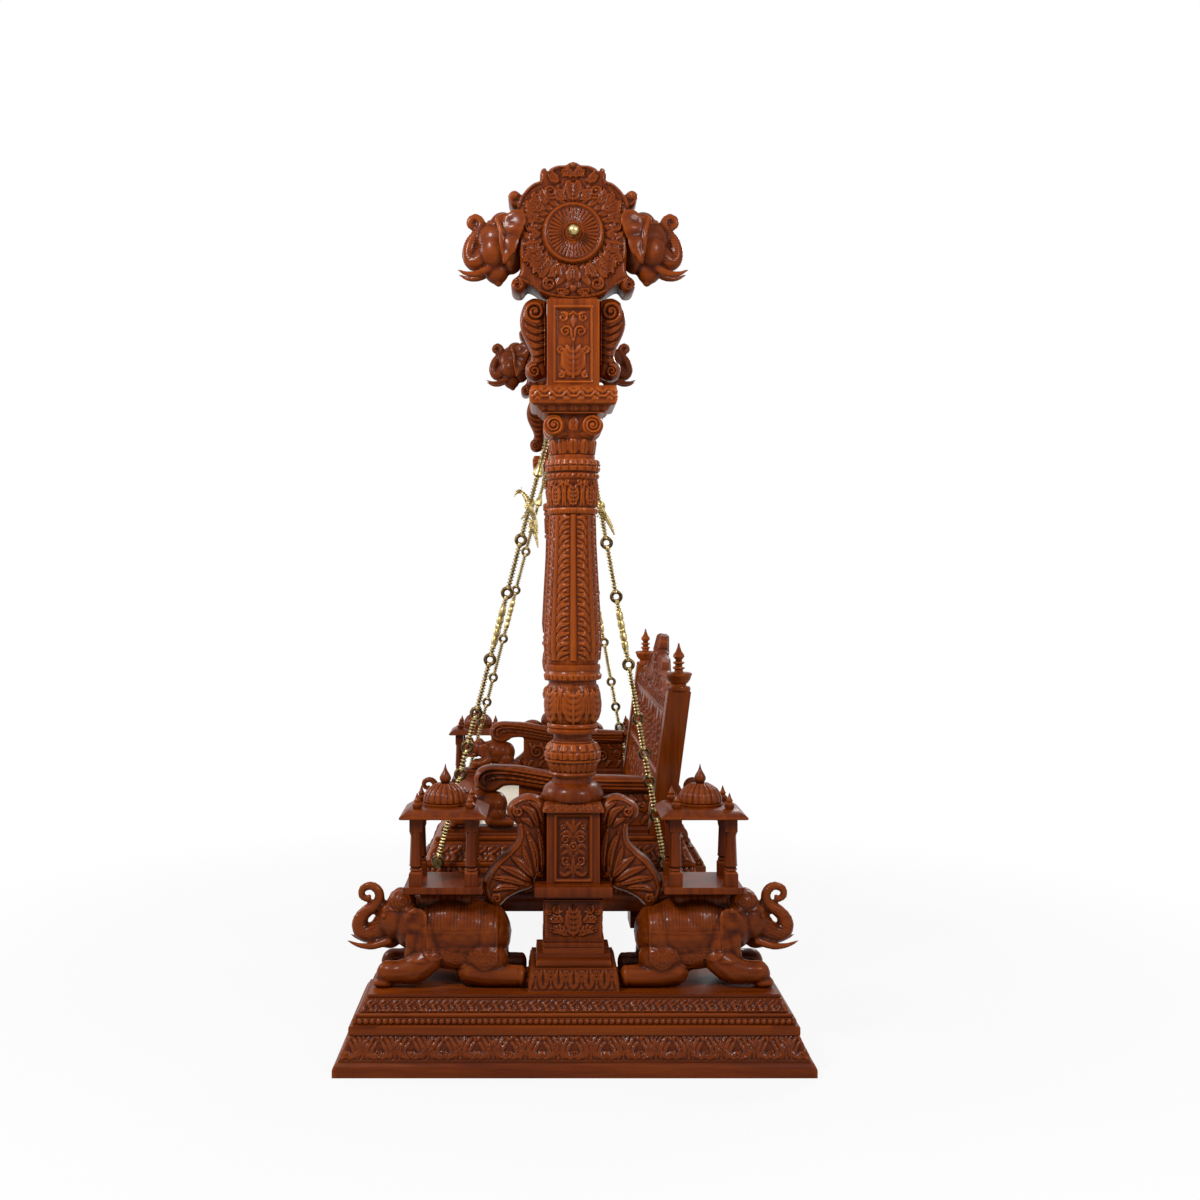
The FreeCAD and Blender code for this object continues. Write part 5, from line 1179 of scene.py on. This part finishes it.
# %% [markdown]
# Each pavilion stands on its elephant: a moulded floor, four tapering eight-sided posts on
# square feet, a hipped roof and a ribbed dome with a bulb finial, and a small finial at each corner.
# %% Pavilions
POST_STEP, FINIAL_STEP = 71, 68
corners = [(x, y) for x in (-1, 1) for y in (-1, 1)]
floor_bm, roof_bm = bmesh.new(), bmesh.new()
square_moulding(floor_bm, 101.5, 101.5, [(3, 429), (0, 431), (0, 443), (2, 447)], centre=(0, PAVILION_Y))
for x, y in corners:
    spot = (x * POST_STEP, PAVILION_Y + y * POST_STEP)
    square_moulding(floor_bm, 17, 17, [(0, 447), (0, 478), (1, 481), (3, 483), (5, 485)], centre=spot)
    round_moulding(floor_bm, [(13, 485), (16, 487), (16, 490), (14, 492), (14, 495), (17, 498), (16, 503),
                              (13.5, 574), (16, 582), (16, 586)], 8, centre=spot)
    square_moulding(floor_bm, 15.5, 15.5, [(0, 586), (0, 620)], centre=spot)
square_moulding(roof_bm, 111, 111, [(4, 620), (0, 622), (0, 626), (2, 628), (23, 642), (25, 643)],
    centre=(0, PAVILION_Y))
melon = around(20, 50, gadroons(15.7, 3.4))
round_moulding(roof_bm, [(57, 643), (59, 646), (59, 650), (54, 651, melon), (54, 662, melon),
    (50, 674, melon), (42, 685, melon), (30, 693, melon), (18, 699), (13, 700), (10, 700), (12, 704),
    (15, 710), (15, 716), (11, 724), (6, 732), (2.5, 741), (0.8, 750)], 108, centre=(0, PAVILION_Y))
for x, y in corners:
    round_moulding(roof_bm, [(10, 643), (13, 648), (13, 654), (7, 660), (9, 665), (6, 669), (2, 680),
        (0.8, 684)], 16, centre=(x * FINIAL_STEP, PAVILION_Y + y * FINIAL_STEP))
floor_mesh, roof_mesh = to_mesh(floor_bm, "pavilion"), to_mesh(roof_bm, "pavilion_roof")
row_copies([(floor_mesh, "pavilion", "howdah"), (roof_mesh, "pavilion_roof", "howdah_roof")], teak_upright_shaded)
print("pavilions made")

# %% [markdown]
# The chains are cast brass. Straight links look like rods of flat beads, dark rings join them, and
# each leg also carries a bell, a long waisted link and a peacock. A leg is made hanging straight
# down and is then leant out to its pin, just as its solid is.
# %% Chains
BEAD_PITCH = 9.3
JOINT_RING, END_RING = (13, 5.4), (14, 4.2)
RING_DROPS = (517, 670, 863, 1017, 1115, 1194, 1290)
LONG_LINK_AFTER = 2
HOOK_Y, HOOK_Z, HOOK_TO_PIN = 9, 1.84405, 1402.05
CHAIN_X = 0.75


def upright_cone(bm, middle, low, high, depth, segments):
    made = bmesh.ops.create_cone(bm, cap_ends=True, segments=segments, radius1=low, radius2=high,
        depth=depth)
    bmesh.ops.translate(bm, verts=made["verts"], vec=(0, 0, middle))


def bead_link(bright, dark, top, foot):
    """A straight link: bright discs on a tarnished rod, with an eye at each end."""
    count = max(2, round((foot - top) / BEAD_PITCH))
    pitch = (foot - top) / count
    for k in range(count):
        for low, high, shift in ((8.4, 7.0, 1.2), (7.0, 8.4, -1.2)):
            upright_cone(bright, shift - top - pitch * (k + 0.5), low, high, 2.4, 12)
    upright_cone(dark, -(top + foot) / 2, 4.4, 4.4, foot - top + 4, 8)
    for place in (top, foot):
        ball = bmesh.ops.create_uvsphere(bright, u_segments=12, v_segments=8, radius=7.2)["verts"]
        bmesh.ops.translate(bright, verts=ball, vec=(0, 0, -place))


def ring(bm, radius, wire, place):
    """A ring of round wire that faces along the beam."""
    section = Matrix.Translation((radius, 0, 0)) @ Matrix.Rotation(math.pi / 2, 4, "X")
    wire_circle = bmesh.ops.create_circle(bm, segments=8, radius=wire, matrix=section)["verts"]
    edges = list({edge for v in wire_circle for edge in v.link_edges})
    bmesh.ops.spin(bm, geom=wire_circle + edges, cent=(0, 0, 0), axis=(0, 0, 1), angle=2 * math.pi,
        steps=24, use_merge=True)
    whole, reach = set(wire_circle), list(wire_circle)
    while reach:
        for edge in reach.pop().link_edges:
            for v in edge.verts:
                if v not in whole:
                    whole.add(v)
                    reach.append(v)
    stand_up = Matrix.Translation((0, 0, -place)) @ Matrix.Rotation(math.pi / 2, 4, "Y")
    bmesh.ops.transform(bm, matrix=stand_up, verts=list(whole))


def peacock():
    bm = bmesh.new()
    lump(bm, (0, 4, 4), (10, 13, 18), -30)
    limb(bm, [(0, 4, 16, 9), (0, 14, 28, 6.5), (0, 25, 36, 5), (0, 35, 35, 5.5), (0, 41, 27, 3),
        (0, 43, 20, 1.6)])
    limb(bm, [(0, -6, -4, 9), (0, -18, -24, 8), (0, -29, -48, 6), (0, -37, -74, 3)])
    limb(bm, [(0, 30, 40, 2.2), (0, 26, 47, 2.6)])
    for side in (-1, 1):
        limb(bm, [(side * 8, 0, 8, 6), (side * 9, -12, -8, 5.5), (side * 6, -20, -22, 3.5)])
        limb(bm, [(side * 4, 4, -8, 3), (side * 4, 6, -20, 3.4)])
    return fused(bm, "peacock", 1.6, 2)


BELL = [(3, -336), (9, -335), (15, -330), (14, -322), (12, -312), (8, -302), (6, -298), (8, -294),
    (3, -290)]
LONG_LINK = [(3, -60), (6, -57), (8, -53), (9.5, -47), (9.5, -33), (7, -29), (9, -25), (10.5, -14),
    (8.5, -10), (8.5, -3), (10, 0), (8.5, 3), (8.5, 10), (10.5, 14), (9, 25), (7, 29), (9.5, 33),
    (9.5, 47), (8, 53), (6, 57), (3, 60)]
WAISTED_LINK = [(reach, rise - 766.5) for reach, rise in LONG_LINK]
bird = peacock()
press(bird, lambda x, forward, up, facing: 0.8 * np.sin(2 * np.pi * up / 5) * (up < 44))
for leg, direction, pin in (("front", -1, 372), ("back", 1, 262)):
    run = pin - HOOK_Y
    span = math.hypot(run, HOOK_TO_PIN)
    links, rings = bmesh.new(), bmesh.new()
    ring(rings, *END_RING, 2.8)
    bead_link(links, rings, 22, 292)
    last = 340
    for k, drop in enumerate(RING_DROPS):
        ring(rings, *JOINT_RING, drop)
        if k == LONG_LINK_AFTER:
            middle = (last + drop - 14) / 2
            bead_link(links, rings, last, middle - 58)
            bead_link(links, rings, middle + 58, drop - 14)
        else:
            bead_link(links, rings, last, drop - 14)
        last = drop + 14
    bead_link(links, rings, last, span - 18)
    ring(rings, *END_RING, span - 2.5)
    for made in (links, rings):
        bmesh.ops.scale(made, vec=(MM, MM, MM), verts=made.verts)
    round_moulding(links, BELL, 20)
    round_moulding(links, WAISTED_LINK, 16)
    links_mesh, rings_mesh = to_mesh(links, "links", 50), to_mesh(rings, "rings", 50)
    bird_copy = bird.copy()
    perch = Matrix.Translation((0, -0.004, -0.420)) @ Matrix.Rotation(math.radians(direction * -6), 4, "X")
    bird_copy.transform(perch)
    lean = Matrix.Rotation(direction * math.atan(run / HOOK_TO_PIN), 4, "X")
    for side, x in (("left", -CHAIN_X), ("right", CHAIN_X)):
        hang = Matrix.Translation((x, direction * HOOK_Y * MM, HOOK_Z)) @ lean
        for mesh, label, finish, stands in ((links_mesh, "links", brass, (f"chain_{leg}_{side}",)),
                (rings_mesh, "rings", dark_brass, ()), (bird_copy, "peacock", brass, ())):
            copy = mesh.copy()
            copy.transform(hang)
            to_piece(copy, f"{label}_{leg}_{side}", finish, f"chains_{side}", stands, label == "peacock")
print("chain legs made:", 4)

# %% [markdown]
# The seat's base is moulded like the plinth, so it is the same kind of stack, but hollow: its
# profile goes up the outside, over the top board, down the inside and back along the ledge.
# %% Seat base
def scaled(strokes, size):
    return [([(x * size, y * size) for x, y in s[0]], s[1] * size, s[2] * size, s[3], *s[4:])
        for s in strokes]


bm = bmesh.new()
square_moulding(bm, 730, 410, [(0, 300), (0, 326), (2, 330), (5, 337), (10, 342), (10, 345),
    (12, 346, repeated(106.6, scaled(lotus, 1.3))), (29, 418), (26, 420), (25, 423), (25, 429),
    (28, 432), (34, 432, repeated(36.5, scaled(curled_leaf, 1.5))), (54, 480), (55, 484), (58, 486),
    (57, 489), (57, 497), (60, 500), (128, 500), (128, 395), (150, 395), (150, 373), (80, 373),
    (80, 300), (0, 300)], cell=4.0, centre=(0, -30))
to_piece(to_mesh(bm, "seat_base"), "seat_base", teak_beam, "seat",
         ["seat_rail_front", "seat_rail_back", "seat_rail_left", "seat_rail_right"])
print("seat base made")

# %% [markdown]
# The arms are shaped boards that sweep up to a scroll in front, with three flutes along them.
# Under each one a carved screen of leaves stands on a rail.
# %% Arms
arm_edge = smooth_path([(232, 666), (150, 670), (60, 672), (-10, 676), (-80, 686), (-140, 697),
    (-190, 700), (-226, 701), (-254, 694), (-270, 678), (-273, 658), (-264, 638), (-246, 625),
    (-222, 624), (-204, 631), (-188, 641), (-156, 643), (-106, 636), (-50, 627), (0, 629), (80, 624),
    (160, 622), (232, 622)], 3)
arm_strokes = [([(228, 656), (60, 658), (-20, 664), (-100, 678), (-180, 690), (-226, 692), (-252, 682),
    (-262, 664), (-258, 646), (-244, 634)], 4.5, 4, 5),
    ([(228, 645), (60, 648), (-20, 653), (-90, 665), (-150, 676), (-200, 680), (-234, 677), (-247, 664),
    (-243, 650)], 4.5, 3.5, 5), ([(228, 634), (60, 638), (-20, 642), (-90, 653), (-150, 663),
    (-200, 667), (-228, 662)], 4, 3, 5)]
screen_edge = [(-146, 527), (226, 527), (226, 621), (80, 623), (-30, 631), (-90, 640), (-146, 650)]
screen_strokes = [(spiral((-96, 588), 30, 4, 1.7, 300, 1), 5, 3, 5),
    (spiral((-14, 580), 26, 4, 1.7, 120, 1), 5, 3, 5), (spiral((70, 578), 24, 4, 1.7, 300, 1), 5, 3, 5),
    (spiral((150, 576), 24, 4, 1.7, 120, 1), 5, 3, 5),
    (spiral((205, 580), 14, 3, 1.5, 300, 1), 4, 3, 5)]
for k in range(9):
    x = -130 + k * 42
    screen_strokes += (leaf((x, 531), (x + 10, 548), (x + 24, 556), 6, 4.5)
        + leaf((x + 6, 620), (x + 14, 606), (x + 28, 600), 6, 4.5))
for side, x in (("left", -ARM_X), ("right", ARM_X)):
    at_side = Matrix.Translation((x, 0, 0)) @ FACE_END
    bm = bmesh.new()
    flat_plate(bm, arm_edge, 56, arm_strokes, 3.2, 13, at_side)
    to_piece(to_mesh(bm, "arm"), f"swept_arm_{side}", teak_across, "seat", [f"arm_rest_{side}"])
    bm = bmesh.new()
    flat_plate(bm, screen_edge, 24, screen_strokes, 2.8, 3, at_side)
    square_moulding(bm, 26, 297, [(0, 500), (0, 505), (3, 509), (1, 514), (1, 519), (4, 523), (4, 527)],
        centre=(x, -71))
    to_piece(to_mesh(bm, "screen"), f"carved_screen_{side}", teak_across, "seat", [f"arm_panel_{side}"])
print("arms made")

# %% [markdown]
# The back is a pierced board between two leaning posts with turned finials: scrolls below, slots
# with leaves between them above, and steps of leaves that climb to a palmette.
# %% Back
POST_Y = 259
SEAT_TOP = 500
SLOT_STEP = 118
BACK_RELIEF = 1.4
lean = math.radians(7.5)
for side, x in (("left", -ARM_X), ("right", ARM_X)):
    bm = bmesh.new()
    square_moulding(bm, 28, 33, [(1, 500), (0, 502), (0, 911), (3, 914)], centre=(x, POST_Y))
    for v in bm.verts:
        v.co.y += (v.co.z - SEAT_TOP * MM) * math.tan(lean)
    to_piece(to_mesh(bm, "post"), f"leaning_post_{side}", teak_upright, "seat", [f"back_post_{side}"])
bm = bmesh.new()
for x in (-ARM_X, ARM_X):
    y = POST_Y + 414 * math.tan(lean)
    round_moulding(bm, [(33, 914), (34, 920), (32, 926), (22, 928), (22, 934), (26, 936), (33, 946),
        (36, 956), (37, 958, around(20, 36, gadroons(11.3, 2.4))), (36, 965), (30, 967), (13, 967),
        (12, 974), (18, 978), (17, 981), (10, 985), (10, 988), (17, 993), (16, 996), (9, 999),
        (10, 1003), (17, 1012), (15, 1018), (9, 1026), (4, 1040), (2, 1050)], 40, centre=(x, y))
to_piece(to_mesh(bm, "finials"), "turned_finials", teak_upright, "seat", ["back_finials"])

right_top = [(611, 8), (611, 372), (592, 388), (560, 396), (500, 396), (470, 404), (440, 424),
    (380, 432), (300, 436), (240, 450), (210, 476), (150, 490), (96, 496), (74, 512), (60, 536),
    (40, 552), (0, 560)]
back_edge = [(-a, b) for a, b in right_top] + [(a, b) for a, b in right_top[-2::-1]]
slots = [[(c - 24, 184), (c - 24, 322), (c, 334), (c + 24, 322), (c + 24, 184), (c, 176)]
         for c in range(-4 * SLOT_STEP, 4 * SLOT_STEP + 1, SLOT_STEP)]
back_strokes = [([(-600, 16), (600, 16)], 7, 7, 5), ([(-600, 160), (600, 160)], 5, 5, 4.5),
    ([(-600, 350), (600, 350)], 5, 5, 4.5), *mirrored([([(604, 16), (604, 366), (560, 390), (470, 396),
    (380, 424), (240, 442), (150, 482), (74, 504), (0, 552)], 5, 5, 5)])]
for k in range(11):
    c, up = (k - 5) * 108, 1 if k % 2 else -1
    back_strokes += [(spiral((c, 88), 40, 5, 1.9, 90 * up, up), 7, 4, 6)]
    back_strokes += acanthus((c + 44, 88 - up * 10), (c + 54, 88 + up * 20), (c + 40, 88 + up * 52), 17, 6)
    back_strokes += acanthus((c - 40, 88 + up * 30), (c - 20, 88 + up * 54), (c + 6, 88 + up * 60), 11, 5)
for c in range(-531, 532, SLOT_STEP):
    back_strokes += acanthus((c, 182), (c, 255), (c, 326), 19, 6)
for k in range(18):
    c = (k - 8.5) * 66
    back_strokes += [(spiral((c, 376), 17, 3, 1.6, 200 * (k % 2), 1), 5.4, 3, 5.5)]
    back_strokes += acanthus((c + 18, 358), (c + 32, 366), (c + 34, 388), 9, 5)
back_strokes += (mirrored(acanthus((0, 408), (40, 440), (62, 474), 22, 7)
    + acanthus((60, 404), (104, 424), (140, 462), 20, 6)
    + acanthus((130, 402), (180, 414), (232, 430), 17, 6)
    + acanthus((226, 398), (300, 410), (368, 416), 13, 5)
    + [(spiral((34, 490), 16, 3, 1.6, 60, -1), 5, 3, 6)])
    + acanthus((0, 404), (0, 470), (0, 540), 25, 7))

bm = bmesh.new()
lay = Matrix.Translation((0, 252, SEAT_TOP)) @ Matrix.Rotation(-lean, 4, "X") @ FACE_FRONT
deeper = [(*s[:3], s[3] * BACK_RELIEF, *s[4:]) for s in back_strokes]
flat_plate(bm, back_edge, 28, deeper, 5.0, 3, lay, slots)
to_piece(to_mesh(bm, "back"), "pierced_back", teak_beam, "seat", ["back_panel"])
print("back made")

# %% [markdown]
# The beam between the ends has a bead along each edge and a scrolling vine carved on both faces.
# %% Beam
vine = []
for k in range(15):
    c, up = (k - 7) * 124, 1 if k % 2 else -1
    vine += [(spiral((c, up * 8), 46, 5, 1.8, 90 * up, up), 6, 3.4, 6)]
    vine += (leaf((c - 62, up * 30), (c - 40, up * 60), (c - 8, up * 64), 9, 5)
        + leaf((c + 44, -up * 20), (c + 58, -up * 52), (c + 30, -up * 66), 9, 5))
bm = bmesh.new()
plank = [(-945, -92), (945, -92), (945, 86), (-945, 86)]
flat_plate(bm, plank, 92, vine, 4.6, 2, Matrix.Translation((0, 0, 2112)) @ FACE_FRONT)


def round_edges(bm, edges, radius, segments):
    bmesh.ops.bevel(bm, geom=edges, offset=radius, offset_type="OFFSET", affect="EDGES", segments=segments,
                    profile=0.5, material=-1)


def edges_along(edges, axis, least):
    return [e for e in edges if abs((e.verts[0].co - e.verts[1].co)[axis]) > least]


for low, high in ((1991, 2022), (2196, 2227)):
    bar = bmesh.ops.create_cube(bm, size=1)["verts"]
    bmesh.ops.scale(bm, vec=(1.89, 0.112, (high - low) * MM), verts=bar)
    bmesh.ops.translate(bm, verts=bar, vec=(0, 0, (low + high) / 2 * MM))
    round_edges(bm, edges_along({e for v in bar for e in v.link_edges}, X_AXIS, 1), 0.008, 4)
to_piece(to_mesh(bm, "beam"), "carved_beam", teak_beam, "frame", ["beam"])
print("beam made")

# %% [markdown]
# The cushion is stuffed. A slightly small pad with drawn-in sides is remeshed evenly, blown up by
# cloth pressure so that its top crowns and its sides swell between the seams, held to a few
# centimetres of travel, and then given a welt round its top and bottom edge.
# %% Cushion
SWELL_LIMIT = 0.014
CORNER = 0.045
SEAM = 0.008
PAD_THICKNESS = 0.042
CLOTH_FRAMES = 20
low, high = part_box("seat_cushion")
middle, size = (low + high) / 2, high - low
bm = bmesh.new()
pad = bmesh.ops.create_cube(bm, size=1)["verts"]
bmesh.ops.scale(bm, vec=(size.x - 0.016, size.y - 0.016, PAD_THICKNESS), verts=pad)
bmesh.ops.translate(bm, verts=pad, vec=(middle.x, middle.y, low.z + 0.024))
round_edges(bm, edges_along(bm.edges, Z_AXIS, 0.02), CORNER, 8)
round_edges(bm, [e for e in bm.edges if e.calc_face_angle(0) > 1.2], SEAM, 3)
thing = add_object("pad", bm_to_mesh(bm, "pad"))
remeshed(thing, 0.0085)
even = evaluated_mesh(thing)
thing.modifiers.clear()
thing.data = even
cloth = thing.modifiers.new("stuffing", "CLOTH")
cloth.settings.use_pressure = True
cloth.settings.uniform_pressure_force = 4
cloth.settings.effector_weights.gravity = 0
cloth.settings.quality = 5
bpy.context.scene.frame_start, bpy.context.scene.frame_end = 1, CLOTH_FRAMES
for step in range(1, CLOTH_FRAMES + 1):
    bpy.context.scene.frame_set(step)
blown = evaluated_mesh(thing)
thing.modifiers.clear()
bpy.context.scene.frame_set(1)
start, swollen = mesh_arrays(even)[0], mesh_arrays(blown)[0]
move = np.clip(swollen - start, -SWELL_LIMIT, SWELL_LIMIT)
place = start + move
across = np.clip(1 - (np.abs(place[:, 0] - middle.x) / (size.x / 2)) ** 6, 0, 1)
along = np.clip(1 - (np.abs(place[:, 1] - middle.y) / (size.y / 2)) ** 4, 0, 1)
top = start[:, 2] > low.z + 0.03
place[:, 2] += np.where(top, 0.004 + 0.006 * across * along, 0)
place[:, 2] = np.maximum(place[:, 2], low.z + 0.0005)
place[:, 2] = np.minimum(place[:, 2], high.z + 0.004)
for axis in (0, 1):
    place[:, axis] = np.clip(place[:, axis], low[axis] - 0.003, high[axis] + 0.003)
blown.vertices.foreach_set("co", place.ravel())
blown.update()
bpy.data.objects.remove(thing)
shade_smooth(blown)
cushion = to_piece(blown, "stuffed_cushion", cream_cloth, "seat", ["seat_cushion"], False)
subdivide = cushion.modifiers.new("soften", "SUBSURF")
subdivide.levels = subdivide.render_levels = 1
print("cushion made, swollen by up to", round(float(np.abs(move).max()) * 1000), "mm")

# %% [markdown]
# A welt is a cord sewn into the seam: a line round the cushion's outline, thickened.
# %% Welts
WELT_RADIUS = 0.0032
half_x, half_y = size.x / 2 - 0.003, size.y / 2 - 0.003
outline = []
for sign_x, sign_y in ((1, -1), (1, 1), (-1, 1), (-1, -1)):
    for step in range(7):
        a = math.atan2(sign_y, sign_x) - math.pi / 4 + step * math.pi / 12
        outline.append((middle.x + sign_x * (half_x - CORNER) + CORNER * math.cos(a),
                        middle.y + sign_y * (half_y - CORNER) + CORNER * math.sin(a)))
for label, up in (("low", 0.010), ("high", 0.046)):
    curve = bpy.data.curves.new(f"welt_{label}", "CURVE")
    curve.dimensions = "3D"
    curve.bevel_depth = WELT_RADIUS
    curve.bevel_resolution = 3
    line = curve.splines.new("POLY")
    line.points.add(len(outline) - 1)
    for point, (x, y) in zip(line.points, outline):
        point.co = (x, y, low.z + up, 1)
    line.use_cyclic_u = True
    holder = add_object("welt", curve)
    welt = evaluated_mesh(holder)
    bpy.data.objects.remove(holder)
    to_piece(welt, f"cushion_welt_{label}", cream_cord, "seat", (), False)
print("welts made:", 2)

# %% [markdown]
# The floor is a pale disc that keeps the object's soft shadow and fades to white further out. The
# world is white to the camera, to reflections and to rays that pass through, and dim to everything
# else, so the wood is lit by four soft lamps.
# %% Floor, world and lamps
FLOOR_RADIUS = 4.2
DIM_WORLD = 0.22
WHITE = (1, 1, 1, 1)


def pale_floor():
    material, tree, shader = new_material("pale_floor")
    place = node(tree, "TexCoord").outputs["Object"]
    tone = ramp(tree, noise(tree, place, 1.5, 2.0), [(0.3, 0.42), (0.7, 0.46)])
    tree.links.new(tone, shader.inputs["Base Color"])
    shader.inputs["Roughness"].default_value = 0.7
    white = node(tree, "Emission", {"Color": WHITE, "Strength": 1.0})
    path = node(tree, "LightPath")
    seen = maths(tree, "MAXIMUM", path.outputs["Is Camera Ray"], path.outputs["Is Glossy Ray"])
    reach = node(tree, "VectorMath", {0: place}, operation="LENGTH").outputs["Value"]
    fade = node(tree, "MapRange", {"Value": reach, "From Min": 1.4, "From Max": 2.6, "To Min": 0.9,
        "To Max": 1.0})
    share = maths(tree, "MULTIPLY", seen, fade.outputs[0])
    blend = node(tree, "MixShader", {0: share, 1: shader.outputs[0], 2: white.outputs[0]})
    tree.links.new(blend.outputs[0], tree.nodes["Material Output"].inputs["Surface"])
    return material


bm = bmesh.new()
bmesh.ops.create_circle(bm, cap_ends=True, segments=96, radius=FLOOR_RADIUS)
floor_mesh = bm_to_mesh(bm, "floor")
floor_mesh.transform(Matrix.Translation((0, 0, -0.001)))
floor_mesh.materials.append(pale_floor())
floor = add_object("floor", floor_mesh)
floor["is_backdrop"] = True

world = bpy.data.worlds.new("studio")
bpy.context.scene.world = world
world.use_nodes = True
tree = world.node_tree
background = tree.nodes["Background"]
path = node(tree, "LightPath")
seen = maths(tree, "MAXIMUM", path.outputs["Is Camera Ray"], path.outputs["Is Transmission Ray"])
seen = maths(tree, "MAXIMUM", seen, path.outputs["Is Glossy Ray"])
strength = node(tree, "MapRange", {"Value": seen, "To Min": DIM_WORLD, "To Max": 1.0})
background.inputs["Color"].default_value = WHITE
tree.links.new(strength.outputs[0], background.inputs["Strength"])


def soft_lamp(name, place, aim, size, power):
    light = bpy.data.lights.new(name, "AREA")
    light.shape = "DISK"
    light.size = size
    light.energy = power
    lamp = add_object(name, light)
    lamp.location = place
    lamp.rotation_euler = (Vector(aim) - Vector(place)).to_track_quat("-Z", "Y").to_euler()


soft_lamp("key_lamp", (2.9, -1.8, 3.2), (1.0, 0, 1.9), 0.7, 120)
soft_lamp("fill_lamp", (3.3, 1.9, 2.7), (1.0, 0, 1.7), 0.9, 70)
soft_lamp("back_lamp", (-3.4, 2.4, 3.4), (0, 0, 1.1), 1.6, 120)
soft_lamp("front_lamp", (-0.6, -4.2, 2.8), (0, 0, 1.1), 1.6, 120)
print("lamps:", len(bpy.data.lights))

# %% [markdown]
# Solids that keep their own shape still get a finish.
# %% Finish
DEFAULT_FINISH = (("chain", brass), ("hanger", brass), ("seat_pins", brass), ("end_boss", brass),
    ("beam_hooks", iron), ("beam", teak_beam), ("back_panel", teak_beam), ("seat_cushion", cream_cloth),
    ("column", teak_upright))
for name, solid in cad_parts.items():
    if not solid.hide_render:
        finish = next((finish for start, finish in DEFAULT_FINISH if name.startswith(start)), teak_across)
        solid.data.materials.clear()
        solid.data.materials.append(finish)
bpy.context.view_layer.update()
faces = [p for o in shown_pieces() if o.type == "MESH" for p in o.data.polygons]
print("triangles:", sum(len(p.vertices) - 2 for p in faces))
